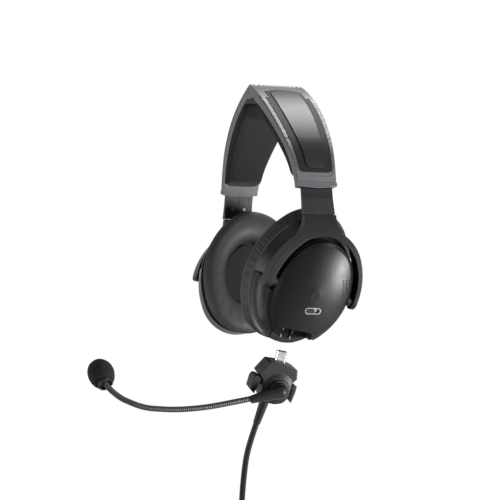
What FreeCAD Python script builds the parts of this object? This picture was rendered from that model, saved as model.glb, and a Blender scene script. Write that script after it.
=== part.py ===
import FreeCAD, Part
import math
import os

# Over-ear aviation headset, in millimetres. +Z is up, the wearer faces -Y and their left ear is at +X.
# The origin is the point midway between the two ears. The left half is modelled, and the right half is
# its mirror image. The boom module is shown pulled out of the left cup.

V = FreeCAD.Vector
os.makedirs("parts", exist_ok=True)

# Fits
running_gap = 0.05          # a pin in its bore
slide_gap = 0.3             # a moving piece beside a fixed one
seat_gap = 0.1              # a rigid piece let into another
soft_gap = 0.3              # a cushion or pad on its carrier

# Headband
crown_height = 156.0        # top of the crown above the ears
crown_slope = 21.5          # fall of each half at the crown, in degrees
top_radius = 195.0
top_length = 84.0           # length of the flatter stretch along the outer face
side_radius = 72.0
side_length = 41.0
band_thickness = 7.6
band_wide = 21.7            # half width at the crown
band_narrow = 15.1          # half width at the mouth
band_wide_below = 10.0      # how far below the crown the band starts to narrow
seam_gap = 0.2
seam_depth = 11.7           # height of the end face at the crown
groove_depth = 0.7
groove_from_face = 0.9      # a fine groove round the edge, close to the outer face
groove_width = 0.7
lip_length = 2.5            # a thickened rim at the mouth
lip_proud = 0.4
mouth_bow = 1.6             # the mouth's edge bows down in the middle
mouth_chamfer = 1.4         # the inner face runs thinner towards the mouth
mouth_chamfer_run = 9.0

# Outer panel
panel_pocket = 0.6
panel_proud = 0.25
panel_band_proud = 0.9
panel_top_below = 4.6       # below the crown
panel_above_mouth = 10.0
panel_rail_top = 3.6        # rail left beside the panel at its top
panel_rail_bottom = 2.4
panel_bulge = 3.0
panel_corner = 3.5
panel_ledge = 3.0           # shallow step in the frame under the panel
panel_ledge_depth = 0.3
panel_side_margin = 6.2     # flat border round the raised band
panel_top_margin = 1.0
panel_bottom_margin = 3.4
panel_notch_wide = 3.0      # a step out of each upper corner of the panel
panel_notch_high = 4.5

# Inner pad
pad_start = 17.0            # along the outer face, from the crown
pad_above_mouth = 9.5       # along the outer face
pad_height = 10.0
pad_end_height = 3.0
pad_inset = 1.0
pad_corner = 5.0

# Crown hinge
knuckle_radius = 3.6
knuckle_half_length = 14.8
end_knuckle_start = 17.2
hinge_pin_radius = 1.5
hinge_pin_inset = 0.6       # pin end inside the end knuckle's face
knuckle_clearance = 0.3
spring_radius = 2.4
spring_half_length = 5.5
spring_pocket_radius = 2.7

# Slider
slider_width = 24.0
slider_thickness = 3.0
slider_radius = 100.0       # to the middle of its thickness
slider_below_face = 2.98    # middle of the slider under the headband's outer face at the mouth
slider_past_mouth = 0.9
slider_turn_in = 4.3        # the slider leans in more than the mouth does, in degrees
slider_inserted = 24.0      # full thickness inside the headband at rest
tongue_length = 3.0         # thinner end beyond it
tongue_thickness = 1.8
slider_up = 7.0             # travel into the headband
split_height = 52.2         # where the fork turns under the slider
split_gap = 0.3
head_height = 12.0          # the outer side of the slider swells out over this height
head_swell = 4.5            # reach of its outer face from the slider's middle
cover_width = 17.0
cover_height = 16.6
cover_thickness = 0.9
cover_above_split = 5.2
cover_screw_radius = 1.4
detent_radius = 0.85
detent_depth = 0.45
detent_count = 4

# Swivel
swivel_out = 0.68           # swivel axis outward of the slider's middle
stud_radius = 1.5
stud_in_slider = 4.4
stud_in_fork = 7.0
stud_collar_radius = 1.9
stud_collar = 0.8

# Ear cup: the oval's long half axis runs up the cup, its short one to the front and back
cup_centre = V(79.4, -4.5, 0.0)
cup_cant = 15.9             # the top leans out, in degrees
cup_toe = 3.4               # the face turns to the front
oval_tilt = 20.5            # the oval leans back in the cup's own plane
rim_long, rim_short = 49.5, 36.8
rim_depth = -16.7           # depths are along the cup's outward axis
housing_back = -18.6
drum_long, drum_short = 39.6, 28.7
drum_rear, drum_down = 3.5, 2.3
drum_foot_depth = -6.8
drum_foot_ledge = 2.2       # the drum stands out by this below the fork's ring
drum_foot_top = -3.2
drum_top_depth = 5.6
cover_edge_depth = 7.0
edge_band = 2.3
edge_band_rise = 1.7
dome_crown_depth = 14.0
cup_wall = 2.0
flange_thickness = 1.4
flange_inset = 1.2
cushion_long, cushion_short = 53.6, 39.6
cushion_back = -37.0
ear_long, ear_short = 26.8, 19.1
scrim_depth = -22.0
scrim_thickness = 0.8
baffle_thickness = 1.6
driver_radius = 17.0
driver_depth = 7.0
board_thickness = 1.4

# Fork
fork_gap = 4.05             # between the drum and the fork's ring
fork_long, fork_short = 48.8, 36.9
fork_forward = 1.2          # the ring's outer edge lies forward of its inner one
fork_face = 9.0             # depth of the arms' outer face
fork_back = -2.5            # depth of the arms' inner face
fork_bend_radius = 140.0
fork_back_bend_radius = 90.0
fork_back_bend_start = 24.0
stem_front = -7.1
stem_rear = 17.1
pivot_tilt = 13.8           # slope of the pivot axis, in degrees
pivot_front = V(-28.7, 5.4, 0)
pivot_rear = V(32.6, -9.8, 0)
tip_clearance = 0.9
pivot_boss_radius = 4.0
pivot_pin_radius = 1.8
pivot_pin_in_cup = 4.0
pivot_washer_gap = 0.4

# Vent holes in the dome, in slanted columns: their first corner, the step across and the step down
vent_corner = V(23.9, 7.8, 0)
vent_across = V(2.75, 0.05, 0)
vent_down = V(0.21, -1.74, 0)
vent_columns, vent_rows = 3, 8
vent_radius = 0.36
vent_depth = 1.2

# Mode switch on the left cup
switch_place = V(2.1, -14.7, 0)
switch_long, switch_wide = 12.3, 5.0
switch_floor_depth = 11.2
switch_top_depth = 13.9
switch_slot_long, switch_slot_wide = 10.4, 3.6
knob_long = 6.2

# Boom module: its own axes are rearward, up along the plug, and outward
module_origin = V(61.24, -18.55, -56.32)
module_cant = 12.0
module_toe = 3.4
module_lean = 10.5
module_front = 7.5
module_back = -8.0
module_split = -0.6
module_wall = 1.6
plug_width, plug_depth, plug_length = 8.0, 4.6, 8.0
plug_wall = 0.45
plug_in_body = 4.0
plug_travel = 27.0          # from the photographed place up into the socket
recess_back = -9.0
recess_ceiling = plug_travel + 1.3
recess_wall = 1.4
relief_plate = 0.7          # low plate on the recess's floor
receptacle_wall = 1.2
receptacle_depth = 9.0
lever_half_depth = 6.0
lug_half_depth = 3.0
lug_reach = 12.6            # lugs' outer edge from the module's middle
lug_inner = 9.6
lever_pin_radius = 0.9
front_pivot = V(-11.4, -16.0, 0)
rear_pivot = V(11.3, -16.8, 0)

# Boom
boss_place = V(1.8, -18.9, 0)
boss_radius = 8.4
boss_height = 1.4
boss_foot_radius = 12.6     # the face rises to the boss in a slope
elbow_gap = 0.3
elbow_disc_radius = 7.2
elbow_big_radius = 5.3
elbow_end_radius = 2.9
elbow_axis_depth = 14.4
elbow_end = V(-19.5, -28.9, 0)
boom_radius = 2.1
boom_points = [V(68.6, -41.5, -82.3), V(67.0, -56.0, -84.9), V(65.2, -76.0, -88.3), V(61.6, -99.0, -90.0),
               V(57.4, -122.0, -88.2), V(53.2, -137.5, -81.4), V(51.4, -145.0, -75.2), V(49.8, -148.9, -69.9)]

# Microphone
mic_axis = V(-0.78, -0.10, 0.62)
screen_radius = 9.7
screen_front = 11.6         # lengths are from the widest place of the foam
screen_rear = 9.0
screen_neck = 6.4
capsule_radius = 4.4
capsule_front = 5.0
capsule_rear = 9.6
mic_from_boom_end = 9.0
ring_outer_radius = 5.6
ring_length = 2.2

# Cord: 4.5 mm, down from the module, a tied coil, and a tail with its panel plug
cord_radius = 2.25
relief_seat_depth = 5.0     # how far the relief reaches up into the module
relief_start = V(-2.9, -30.2, -1.0)
relief_end = V(-4.6, -50.0, -1.0)
relief_big_radius = 3.7
relief_small_radius = 2.7
coil_plane_x = 3.0
coil_outer_radius = 34.0
coil_turns = 4              # in each of the two layers
coil_pitch = 5.1
coil_side_y = -27.0
coil_centre_z = -254.0
tail_length = 46.0
tie_height = 12.0
tie_thickness = 1.2
plug_boot_length = 22.0
plug_body_radius = 7.8
plug_body_length = 34.0


def save(name, shape):
    if shape.ShapeType == "Compound" and len(shape.Solids) == 1:
        shape = shape.Solids[0]
    shape.exportStep("parts/" + name + ".step")
    print("%-24s solids %d valid %s volume %.0f" % (name, len(shape.Solids), shape.isValid(), shape.Volume))


def mirrored(shape):
    return shape.mirror(V(0, 0, 0), V(1, 0, 0))


def save_both(name, shape):
    save("left_" + name, shape)
    save("right_" + name, mirrored(shape))


def axes(origin, x_axis, z_axis):
    z = V(z_axis).normalize()
    y = z.cross(x_axis).normalize()
    x = y.cross(z)
    return FreeCAD.Placement(FreeCAD.Matrix(x.x, y.x, z.x, origin.x, x.y, y.y, z.y, origin.y,
                                            x.z, y.z, z.z, origin.z, 0, 0, 0, 1))


def put(shape, placement):
    moved = shape.copy()
    moved.Placement = placement.multiply(moved.Placement)
    return moved


def polygon(points):
    return Part.Wire([Part.LineSegment(a, b).toShape() for a, b in zip(points, points[1:] + points[:1])])


def rounded_polygon(points, radii):
    """A polygon with every corner rounded, each by its own radius."""
    edges = []
    count = len(points)
    cuts = []
    for i in range(count):
        before, at, after = points[i - 1], points[i], points[(i + 1) % count]
        a = (before - at).normalize()
        b = (after - at).normalize()
        half = a.getAngle(b) / 2
        radius = radii[i]
        reach = radius / math.tan(half)
        middle = at + (a + b).normalize() * (radius / math.sin(half) - radius)
        cuts.append((at + a * reach, middle, at + b * reach))
    for i in range(count):
        start, middle, end = cuts[i]
        edges.append(Part.Arc(start, middle, end).toShape())
        edges.append(Part.LineSegment(end, cuts[(i + 1) % count][0]).toShape())
    return Part.Wire(edges)


def prism(wire, low, high):
    face = Part.Face(wire)
    face.translate(V(0, 0, low))
    return face.extrude(V(0, 0, high - low))


def block(x0, x1, y0, y1, z0, z1):
    return Part.makeBox(x1 - x0, y1 - y0, z1 - z0, V(x0, y0, z0))


def rod(start, end, radius):
    return Part.makeCylinder(radius, (end - start).Length, start, end - start)


def cone(start, end, start_radius, end_radius):
    return Part.makeCone(start_radius, end_radius, (end - start).Length, start, end - start)


def capsule_prism(centre, long, wide, low, high):
    """A slot shape, long along X."""
    r = wide / 2
    h = long / 2 - r
    wire = Part.Wire([
        Part.LineSegment(centre + V(-h, -r, 0), centre + V(h, -r, 0)).toShape(),
        Part.Arc(centre + V(h, -r, 0), centre + V(h + r, 0, 0), centre + V(h, r, 0)).toShape(),
        Part.LineSegment(centre + V(h, r, 0), centre + V(-h, r, 0)).toShape(),
        Part.Arc(centre + V(-h, r, 0), centre + V(-h - r, 0, 0), centre + V(-h, -r, 0)).toShape()])
    return prism(wire, low, high)


def oval(long, short, depth=0.0, rear=0.0, up=0.0):
    """An oval of four tangent arcs, long half axis along Y."""
    diagonal = math.hypot(long, short)
    end_radius = diagonal * (diagonal - (long - short)) / (2 * long)
    side_radius_ = diagonal * (diagonal + (long - short)) / (2 * short)
    end_centre = long - end_radius
    side_centre = side_radius_ - short
    slope = math.atan2(end_centre, side_centre)
    jx = side_radius_ * math.cos(slope) - side_centre
    jy = side_radius_ * math.sin(slope)
    c = V(rear, up, depth)
    return Part.Wire([
        Part.Arc(c + V(jx, -jy, 0), c + V(short, 0, 0), c + V(jx, jy, 0)).toShape(),
        Part.Arc(c + V(jx, jy, 0), c + V(0, long, 0), c + V(-jx, jy, 0)).toShape(),
        Part.Arc(c + V(-jx, jy, 0), c + V(-short, 0, 0), c + V(-jx, -jy, 0)).toShape(),
        Part.Arc(c + V(-jx, -jy, 0), c + V(0, -long, 0), c + V(jx, -jy, 0)).toShape()])


def oval_prism(long, short, low, high, rear=0.0, up=0.0):
    return prism(oval(long, short, 0, rear, up), low, high)


def loft(wires, ruled=False):
    return Part.makeLoft(wires, True, ruled)


def arc_from(start, tangent, end):
    chord = end - start
    along = V(chord).normalize()
    side = tangent - along * tangent.dot(along)
    swell = chord.Length / 2 * math.tan(tangent.getAngle(chord) / 2)
    return Part.Arc(start, (start + end) * 0.5 + V(side).normalize() * swell, end).toShape()


def biarc(start, start_way, end, end_way):
    """Two arcs that leave and arrive in the given directions."""
    gap = end - start
    ways = start_way + end_way
    a = ways.dot(ways) - 4
    b = -2 * gap.dot(ways)
    c = gap.dot(gap)
    reach = (-b - math.sqrt(b * b - 4 * a * c)) / (2 * a)
    knee = (start + start_way * reach + end - end_way * reach) * 0.5
    knee_way = (knee - start - start_way * reach).normalize()
    return [arc_from(start, start_way, knee), arc_from(knee, knee_way, end)]


def route(points):
    """Straight runs joined by tangent arcs, each as large as its two runs allow."""
    edges = []
    radii = []
    last = points[0]
    for i in range(1, len(points) - 1):
        before = points[i - 1] - points[i]
        after = points[i + 1] - points[i]
        reach = 0.45 * min(before.Length, after.Length)
        half_turn = (math.pi - before.getAngle(after)) / 2
        radius = reach / math.tan(half_turn)
        a = points[i] + V(before).normalize() * reach
        b = points[i] + V(after).normalize() * reach
        edges.append(Part.LineSegment(last, a).toShape())
        edges.append(arc_from(a, -V(before).normalize(), b))
        radii.append(radius)
        last = b
    edges.append(Part.LineSegment(last, points[-1]).toShape())
    return edges, radii


def tube(edges, radius):
    path = Part.Wire(edges)
    first = edges[0]
    way = first.tangentAt(first.FirstParameter)
    ring = Part.Wire([Part.Circle(first.valueAt(first.FirstParameter), way, radius).toShape()])
    return path.makePipeShell([ring], True, False), path.Length


# Headband outer line, by distance run from the crown and depth below the outer face
def outward(angle):
    return V(math.sin(math.radians(angle)), 0, math.cos(math.radians(angle)))


knee_angle = crown_slope + math.degrees(top_length / top_radius)
end_angle = knee_angle + math.degrees(side_length / side_radius)
crown_point = V(0, 0, crown_height)
top_centre = crown_point - outward(crown_slope) * top_radius
side_centre_point = top_centre + outward(knee_angle) * (top_radius - side_radius)
mouth_run = top_length + side_length


def band_angle(run):
    if run <= top_length:
        return crown_slope + math.degrees(run / top_radius)
    return knee_angle + math.degrees((run - top_length) / side_radius)


def band_point(run, depth=0.0):
    if run <= top_length:
        return top_centre + outward(band_angle(run)) * (top_radius - depth)
    return side_centre_point + outward(band_angle(run)) * (side_radius - depth)


def band_arcs(first, last, depth):
    stops = [first, last]
    if min(first, last) < top_length < max(first, last):
        stops = [first, top_length, last]
    return [Part.Arc(band_point(a, depth), band_point((a + b) / 2, depth), band_point(b, depth)).toShape()
            for a, b in zip(stops, stops[1:])]


def band_slab(first, last, outer_depth, inner_depth, half_width=band_wide + 10):
    edges = band_arcs(first, last, outer_depth)
    edges.append(Part.LineSegment(band_point(last, outer_depth), band_point(last, inner_depth)).toShape())
    edges += band_arcs(last, first, inner_depth)
    edges.append(Part.LineSegment(band_point(first, inner_depth), band_point(first, outer_depth)).toShape())
    face = Part.Face(Part.Wire(edges))
    face.translate(V(0, -half_width, 0))
    return face.extrude(V(0, 2 * half_width, 0))


mouth_height = band_point(mouth_run).z


def band_half_width(z):
    share = (z - mouth_height) / (crown_height - band_wide_below - mouth_height)
    share = min(1.0, max(0.0, share))
    return band_narrow + (band_wide - band_narrow) * share * share * (3 - 2 * share)


def side_curve(z0, z1, inset0, inset1, side):
    stations = 7
    points = []
    for i in range(stations):
        share = i / (stations - 1)
        z = z0 + (z1 - z0) * share
        points.append(V(0, side * (band_half_width(z) - inset0 - (inset1 - inset0) * share), z))
    curve = Part.BSplineCurve()
    curve.interpolate(points)
    return curve.toShape(), points[0], points[-1]


def band_outline(inset=0.0, start_x=seam_gap / 2):
    """The headband's front outline, as a block that cuts slabs to width."""
    high, low = crown_height + 6, mouth_height - 12
    rear, rear_high, rear_low = side_curve(high, low, inset, inset, 1)
    front, front_low, front_high = side_curve(low, high, inset, inset, -1)
    wire = Part.Wire([rear, Part.LineSegment(rear_low, front_low).toShape(), front,
                      Part.LineSegment(front_high, rear_high).toShape()])
    face = Part.Face(wire)
    face.translate(V(start_x, 0, 0))
    return face.extrude(V(130, 0, 0))


def panel_outline(side=0.0, above=0.0, below=0.0):
    """The outer panel's front outline, with a bulged top and rounded lower corners, less a margin."""
    top = crown_height - panel_top_below - panel_bulge - above
    bottom = mouth_height + panel_above_mouth + below
    upper_rail = panel_rail_top + side
    rail = panel_rail_bottom + side + (panel_rail_top - panel_rail_bottom) * panel_corner / (top - bottom)
    rear, rear_top, rear_low = side_curve(top, bottom + panel_corner, upper_rail, rail, 1)
    front, front_low, front_top = side_curve(bottom + panel_corner, top, rail, upper_rail, -1)
    inner = rear_low.y - panel_corner
    bend = panel_corner * (1 - math.sqrt(0.5))
    wire = Part.Wire([
        rear,
        Part.Arc(rear_low, V(0, rear_low.y - bend, bottom + bend), V(0, inner, bottom)).toShape(),
        Part.LineSegment(V(0, inner, bottom), V(0, -inner, bottom)).toShape(),
        Part.Arc(V(0, -inner, bottom), V(0, -rear_low.y + bend, bottom + bend), front_low).toShape(),
        front,
        Part.Arc(front_top, V(0, 0, top + panel_bulge), rear_top).toShape()])
    return Part.Face(wire).extrude(V(130, 0, 0))


def panel_notches(gap=0.0):
    """Steps of the frame that stand in the panel's upper corners."""
    top = crown_height - panel_top_below - panel_bulge
    reach = band_half_width(top) - panel_rail_top - panel_notch_wide - gap
    low = top - panel_notch_high - gap
    return [block(0, 130, y0, y1, low, crown_height + 10)
            for y0, y1 in ((reach, band_wide + 10), (-band_wide - 10, -reach))]


# Slider arc
slider_mouth_lean = 90 - end_angle + slider_turn_in
slider_mouth = band_point(mouth_run - slider_past_mouth, slider_below_face)
slider_centre = slider_mouth - outward(90 - slider_mouth_lean) * slider_radius


def slider_point(angle, radius):
    a = math.radians(angle)
    return slider_centre + V(math.cos(a), 0, math.sin(a)) * radius


def slider_sector(inner, outer, low, high, half_width):
    """A bent bar about the slider's centre, between two angles."""
    middle = (low + high) / 2
    wire = Part.Wire([
        Part.Arc(slider_point(low, outer), slider_point(middle, outer), slider_point(high, outer)).toShape(),
        Part.LineSegment(slider_point(high, outer), slider_point(high, inner)).toShape(),
        Part.Arc(slider_point(high, inner), slider_point(middle, inner), slider_point(low, inner)).toShape(),
        Part.LineSegment(slider_point(low, inner), slider_point(low, outer)).toShape()])
    face = Part.Face(wire)
    face.translate(V(0, -half_width, 0))
    return face.extrude(V(0, 2 * half_width, 0))


def slider_degrees(length):
    return math.degrees(length / slider_radius)


slider_inner = slider_radius - slider_thickness / 2
slider_outer = slider_radius + slider_thickness / 2
split_angle = math.degrees(math.asin((split_height - slider_centre.z) / slider_radius))
full_end_angle = slider_mouth_lean + slider_degrees(slider_inserted)
tongue_end_angle = full_end_angle + slider_degrees(tongue_length)
swivel_axis = V(-math.sin(math.radians(split_angle)), 0, math.cos(math.radians(split_angle)))
slider_foot = slider_point(split_angle, slider_radius)
swivel_point = slider_foot + V(swivel_out, 0, 0)
swivel_place = axes(swivel_point, V(0, 1, 0), swivel_axis)

# Crown hinge
hinge_height = crown_height - knuckle_radius
pin_half_length = band_wide - hinge_pin_inset


def hinge_rod(radius, y0, y1):
    return rod(V(0, y0, hinge_height), V(0, y1, hinge_height), radius)


def arm_blank():
    """One half of the headband, before its hinge knuckles."""
    blank = band_slab(-8, mouth_run + mouth_bow, 0, band_thickness).common(band_outline())
    seam = seam_gap / 2
    foot = band_point(14, band_thickness)
    cheek = polygon([V(seam, 0, hinge_height - 2), V(seam, 0, crown_height - seam_depth),
                     V(9.5, 0, foot.z + 2.4), band_point(16, band_thickness - 1), band_point(14, 2)])
    face = Part.Face(cheek)
    face.translate(V(0, -band_wide, 0))
    bridge = face.extrude(V(0, 2 * band_wide, 0))
    blank = blank.fuse(bridge).removeSplitter()
    lip = band_slab(mouth_run - lip_length, mouth_run + mouth_bow, -lip_proud, band_thickness - mouth_chamfer)
    blank = blank.fuse(lip.common(band_outline(-lip_proud)))
    reach = band_narrow + 2
    below = Part.Wire([
        Part.Arc(V(-reach, 0, 0), V(0, -mouth_bow, 0), V(reach, 0, 0)).toShape(),
        Part.LineSegment(V(reach, 0, 0), V(reach, -12, 0)).toShape(),
        Part.LineSegment(V(reach, -12, 0), V(-reach, -12, 0)).toShape(),
        Part.LineSegment(V(-reach, -12, 0), V(-reach, 0, 0)).toShape()])
    mouth_place = axes(band_point(mouth_run), V(0, 1, 0), outward(end_angle))
    blank = blank.cut(put(prism(below, -40, 10), mouth_place))
    thin = polygon([band_point(mouth_run - mouth_chamfer_run, band_thickness),
                    band_point(mouth_run + mouth_bow, band_thickness - mouth_chamfer),
                    band_point(mouth_run + mouth_bow, band_thickness + 4),
                    band_point(mouth_run - mouth_chamfer_run, band_thickness + 4)])
    face = Part.Face(thin)
    face.translate(V(0, -band_wide, 0))
    blank = blank.cut(face.extrude(V(0, 2 * band_wide, 0)))
    ring = band_slab(22, mouth_run - lip_length - 1, groove_from_face, groove_from_face + groove_width)
    blank = blank.cut(ring.common(band_outline(-2)).cut(band_outline(groove_depth, -10)))
    pocket = panel_outline()
    for step in panel_notches():
        pocket = pocket.cut(step)
    blank = blank.cut(band_slab(-8, mouth_run, -3, panel_pocket).common(pocket))
    ledge = panel_outline(below=-panel_ledge).common(block(0, 130, -band_wide, band_wide, 0, crown_height / 2 + 20))
    blank = blank.cut(band_slab(-8, mouth_run, -3, panel_ledge_depth).common(ledge))
    wide = slider_width / 2 + slide_gap
    up = slider_degrees(slider_up + 1.0)
    blank = blank.cut(slider_sector(slider_inner - slide_gap, slider_outer + slide_gap, 0,
                                    full_end_angle + up, wide))
    blank = blank.cut(slider_sector(slider_inner - slide_gap, slider_inner + tongue_thickness + slide_gap,
                                    full_end_angle, tongue_end_angle + up, wide))
    return blank


def make_arms():
    blank = arm_blank()
    cut_radius = knuckle_radius + knuckle_clearance
    bore = hinge_rod(hinge_pin_radius + running_gap, -pin_half_length, pin_half_length)
    middle_cut = hinge_rod(cut_radius, -end_knuckle_start, end_knuckle_start)
    left = blank.cut(middle_cut)
    for side in (-1, 1):
        left = left.fuse(hinge_rod(knuckle_radius, side * end_knuckle_start, side * band_wide))
    left = left.cut(bore)
    right = mirrored(blank)
    for side in (-1, 1):
        right = right.cut(hinge_rod(cut_radius, side * knuckle_half_length, side * (band_wide + 1)))
    right = right.fuse(hinge_rod(knuckle_radius, -knuckle_half_length, knuckle_half_length))
    right = right.cut(hinge_rod(spring_pocket_radius, -spring_half_length - 0.5, spring_half_length + 0.5))
    right = right.cut(bore)
    save("left_headband_frame", left)
    save("right_headband_frame", right)
    save("crown_hinge_pin", hinge_rod(hinge_pin_radius, -pin_half_length, pin_half_length))
    sleeve = hinge_rod(spring_radius, -spring_half_length, spring_half_length)
    sleeve = sleeve.cut(hinge_rod(hinge_pin_radius + 0.15, -spring_half_length, spring_half_length))
    save("crown_hinge_spring", sleeve)


def make_panel():
    plate = band_slab(-8, mouth_run, -panel_proud, panel_pocket).common(panel_outline(seat_gap, seat_gap, seat_gap))
    for step in panel_notches(seat_gap):
        plate = plate.cut(step)
    ridge = panel_outline(panel_side_margin, panel_top_margin, panel_bottom_margin)
    raised = band_slab(-8, mouth_run, -panel_band_proud, panel_pocket).common(ridge)
    save_both("headband_panel", plate.fuse(raised))


def pad_section(run, height, inset):
    """A crowned section across the band, on its inner side."""
    base = band_point(run, band_thickness + soft_gap)
    inward = -outward(band_angle(run))
    half = band_half_width(base.z) - inset
    shoulder = min(0.3 * height, half / 3)

    def at(y, h):
        return base + V(0, y, 0) + inward * h
    bend = math.sqrt(0.5)
    edge = height * 0.75
    return Part.Wire([
        Part.LineSegment(at(-half, 0), at(half, 0)).toShape(),
        Part.Arc(at(half, 0), at(half - shoulder * (1 - bend) * 0.6, edge * bend), at(half - shoulder, edge)).toShape(),
        Part.Arc(at(half - shoulder, edge), at(0, height), at(-half + shoulder, edge)).toShape(),
        Part.Arc(at(-half + shoulder, edge), at(-half + shoulder * (1 - bend) * 0.6, edge * bend),
                 at(-half, 0)).toShape()])


def make_pad():
    sections = []
    pad_end = mouth_run - pad_above_mouth
    length = pad_end - pad_start
    for run in (0, 1.6, 5, 12, 24, length / 2, length - 24, length - 12, length - 5, length - 1.6, length):
        from_end = min(run, length - run)
        fullness = math.sin(math.pi / 2 * min(1.0, from_end / (2.4 * pad_corner)))
        height = pad_end_height + (pad_height - pad_end_height) * fullness
        corner = max(0.0, 1 - from_end / pad_corner)
        inset = pad_inset + pad_corner * 0.8 * (1 - math.sqrt(1 - corner * corner * 0.98))
        sections.append(pad_section(pad_start + run, height, inset))
    save_both("headband_pad", loft(sections))


def make_slider():
    half = slider_width / 2
    strip = slider_sector(slider_inner, slider_outer, split_angle, full_end_angle, half)
    tongue = slider_sector(slider_inner, slider_inner + tongue_thickness, full_end_angle - 1, tongue_end_angle,
                           half - 1.0)
    swell_angle = split_angle + slider_degrees(head_height)
    low_inner = slider_point(split_angle, slider_inner)
    swell = polygon([low_inner, slider_foot + V(head_swell, 0, 0), slider_point(swell_angle, slider_outer),
                     slider_point(swell_angle, slider_inner)])
    face = Part.Face(swell)
    face.translate(V(0, -half, 0))
    body = strip.fuse(tongue).fuse(face.extrude(V(0, 2 * half, 0))).removeSplitter()
    floor = put(block(-60, 60, -60, 60, -40, split_gap / 2), swivel_place)
    body = body.cut(floor)
    bore = rod(swivel_point - swivel_axis * 3, swivel_point + swivel_axis * (stud_in_slider + 0.4),
               stud_radius + running_gap)
    collar = rod(swivel_point + swivel_axis * (stud_in_slider - stud_collar - 0.3),
                 swivel_point + swivel_axis * (stud_in_slider + 0.4), stud_collar_radius + 0.1)
    low = split_angle + slider_degrees(cover_above_split)
    high = low + slider_degrees(cover_height)
    seat = slider_sector(slider_inner - 3, slider_inner + cover_thickness, low, high, cover_width / 2)
    body = body.cut(bore).cut(collar).cut(seat)
    plate = slider_sector(slider_inner, slider_inner + cover_thickness - 0.05, low + 0.06, high - 0.06,
                          cover_width / 2 - seat_gap)
    heads = []
    screw_angle = low + slider_degrees(cover_height * 0.2)
    for side in (-1, 1):
        across = V(0, side * cover_width * 0.3, 0)
        inner = slider_point(screw_angle, slider_inner + 0.5) + across
        outer = slider_point(screw_angle, slider_outer - 0.6) + across
        plate = plate.cut(rod(inner - (outer - inner), outer, cover_screw_radius + seat_gap))
        body = body.cut(rod(inner, outer, 0.8 + running_gap))
        head = rod(slider_point(screw_angle, slider_inner + 0.1) + across,
                   slider_point(screw_angle, slider_inner + cover_thickness - 0.05) + across, cover_screw_radius)
        heads.append(rod(inner, outer, 0.8).fuse(head))
    for step in range(detent_count):
        spot = low + slider_degrees(cover_height * (0.5 + 0.4 * step / (detent_count - 1)))
        plate = plate.cut(rod(slider_point(spot, slider_inner - 1), slider_point(spot, slider_inner + detent_depth),
                              detent_radius))
    save_both("slider", body)
    save_both("slider_cover", plate)
    save_both("slider_screws", Part.makeCompound(heads))


# Cup axes: rearward, up in the cup's plane, and outward. The oval and the pivots turn in that plane.
def turned_axes(cant, toe):
    c, t = math.radians(cant), math.radians(toe)
    out = V(math.cos(c) * math.cos(t), -math.sin(t) * math.cos(c), -math.sin(c))
    rise = V(math.sin(c), 0, math.cos(c))
    rise = (rise - out * rise.dot(out)).normalize()
    return rise.cross(out), rise, out


def in_plane(rear, up, degrees):
    a = math.radians(degrees)
    return rear * math.cos(a) - up * math.sin(a), up * math.cos(a) + rear * math.sin(a)


cup_rear, cup_up, cup_out = turned_axes(cup_cant, cup_toe)
cup_place = axes(cup_centre, cup_rear, cup_out)
oval_rear, oval_up = in_plane(cup_rear, cup_up, oval_tilt)
oval_place = axes(cup_centre, oval_rear, cup_out)
pivot_rear_way, pivot_up_way = in_plane(cup_rear, cup_up, pivot_tilt)
pivot_depth = (fork_face + fork_back) / 2
pivot_middle = cup_place.multVec((pivot_front + pivot_rear) * 0.5 + V(0, 0, pivot_depth))
pivot_place = axes(pivot_middle, pivot_rear_way, cup_out)
pivot_span = (pivot_rear - pivot_front).Length / 2
tip_radius = (fork_face - fork_back) / 2

module_rear_flat, module_up_flat, module_out = turned_axes(module_cant, module_toe)
module_rear, module_up = in_plane(module_rear_flat, module_up_flat, module_lean)
module_place = axes(module_origin, module_rear, module_out)


def drum_prism(inset, low, high):
    return oval_prism(drum_long - inset, drum_short - inset, low, high, drum_rear, -drum_down)


def drum_oval(inset, depth):
    return oval(drum_long - inset, drum_short - inset, depth, drum_rear, -drum_down)


def pivot_region(radius, reach):
    """Everything above the pivot axis, with a round end about it."""
    upper = block(-reach, reach, 0, reach, -reach, reach)
    round_end = rod(V(-reach, 0, 0), V(reach, 0, 0), radius)
    return put(upper.fuse(round_end), pivot_place)


def housing_blank():
    rim = oval_prism(rim_long, rim_short, housing_back, rim_depth)
    side = loft([oval(rim_long, rim_short, rim_depth),
                 oval(rim_long - 0.6, rim_short - 0.5, rim_depth + 3, 0.2, -0.1),
                 oval(rim_long - 1.6, rim_short - 1.4, rim_depth + 9.7, 0.7, -0.4),
                 oval(rim_long - 5.0, rim_short - 4.3, rim_depth + 16.2, 1.8, -1.2),
                 drum_oval(0, drum_top_depth)])
    full = rim.fuse(side)
    shoulder = loft([oval(rim_long, rim_short, rim_depth), drum_oval(-0.6, drum_foot_depth)], True)
    drum = drum_prism(0, rim_depth, drum_top_depth).fuse(drum_prism(-drum_foot_ledge, rim_depth, drum_foot_top))
    region = pivot_region(tip_radius + tip_clearance, 90)
    channel = put(oval_prism(rim_long + 20, rim_short + 20, rim_depth, 30), oval_place)
    channel = channel.common(region).cut(put(drum, oval_place)).cut(put(shoulder, oval_place))
    return put(full, oval_place).cut(channel)


def housing_cavity():
    lower = loft([oval(rim_long - 4.5, rim_short - 4.5, housing_back - 0.1),
                  drum_oval(cup_wall, drum_foot_depth - 1.5)], True)
    upper = drum_prism(cup_wall, drum_foot_depth - 1.6, drum_top_depth + 0.1)
    return put(lower.fuse(upper), oval_place)


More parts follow.
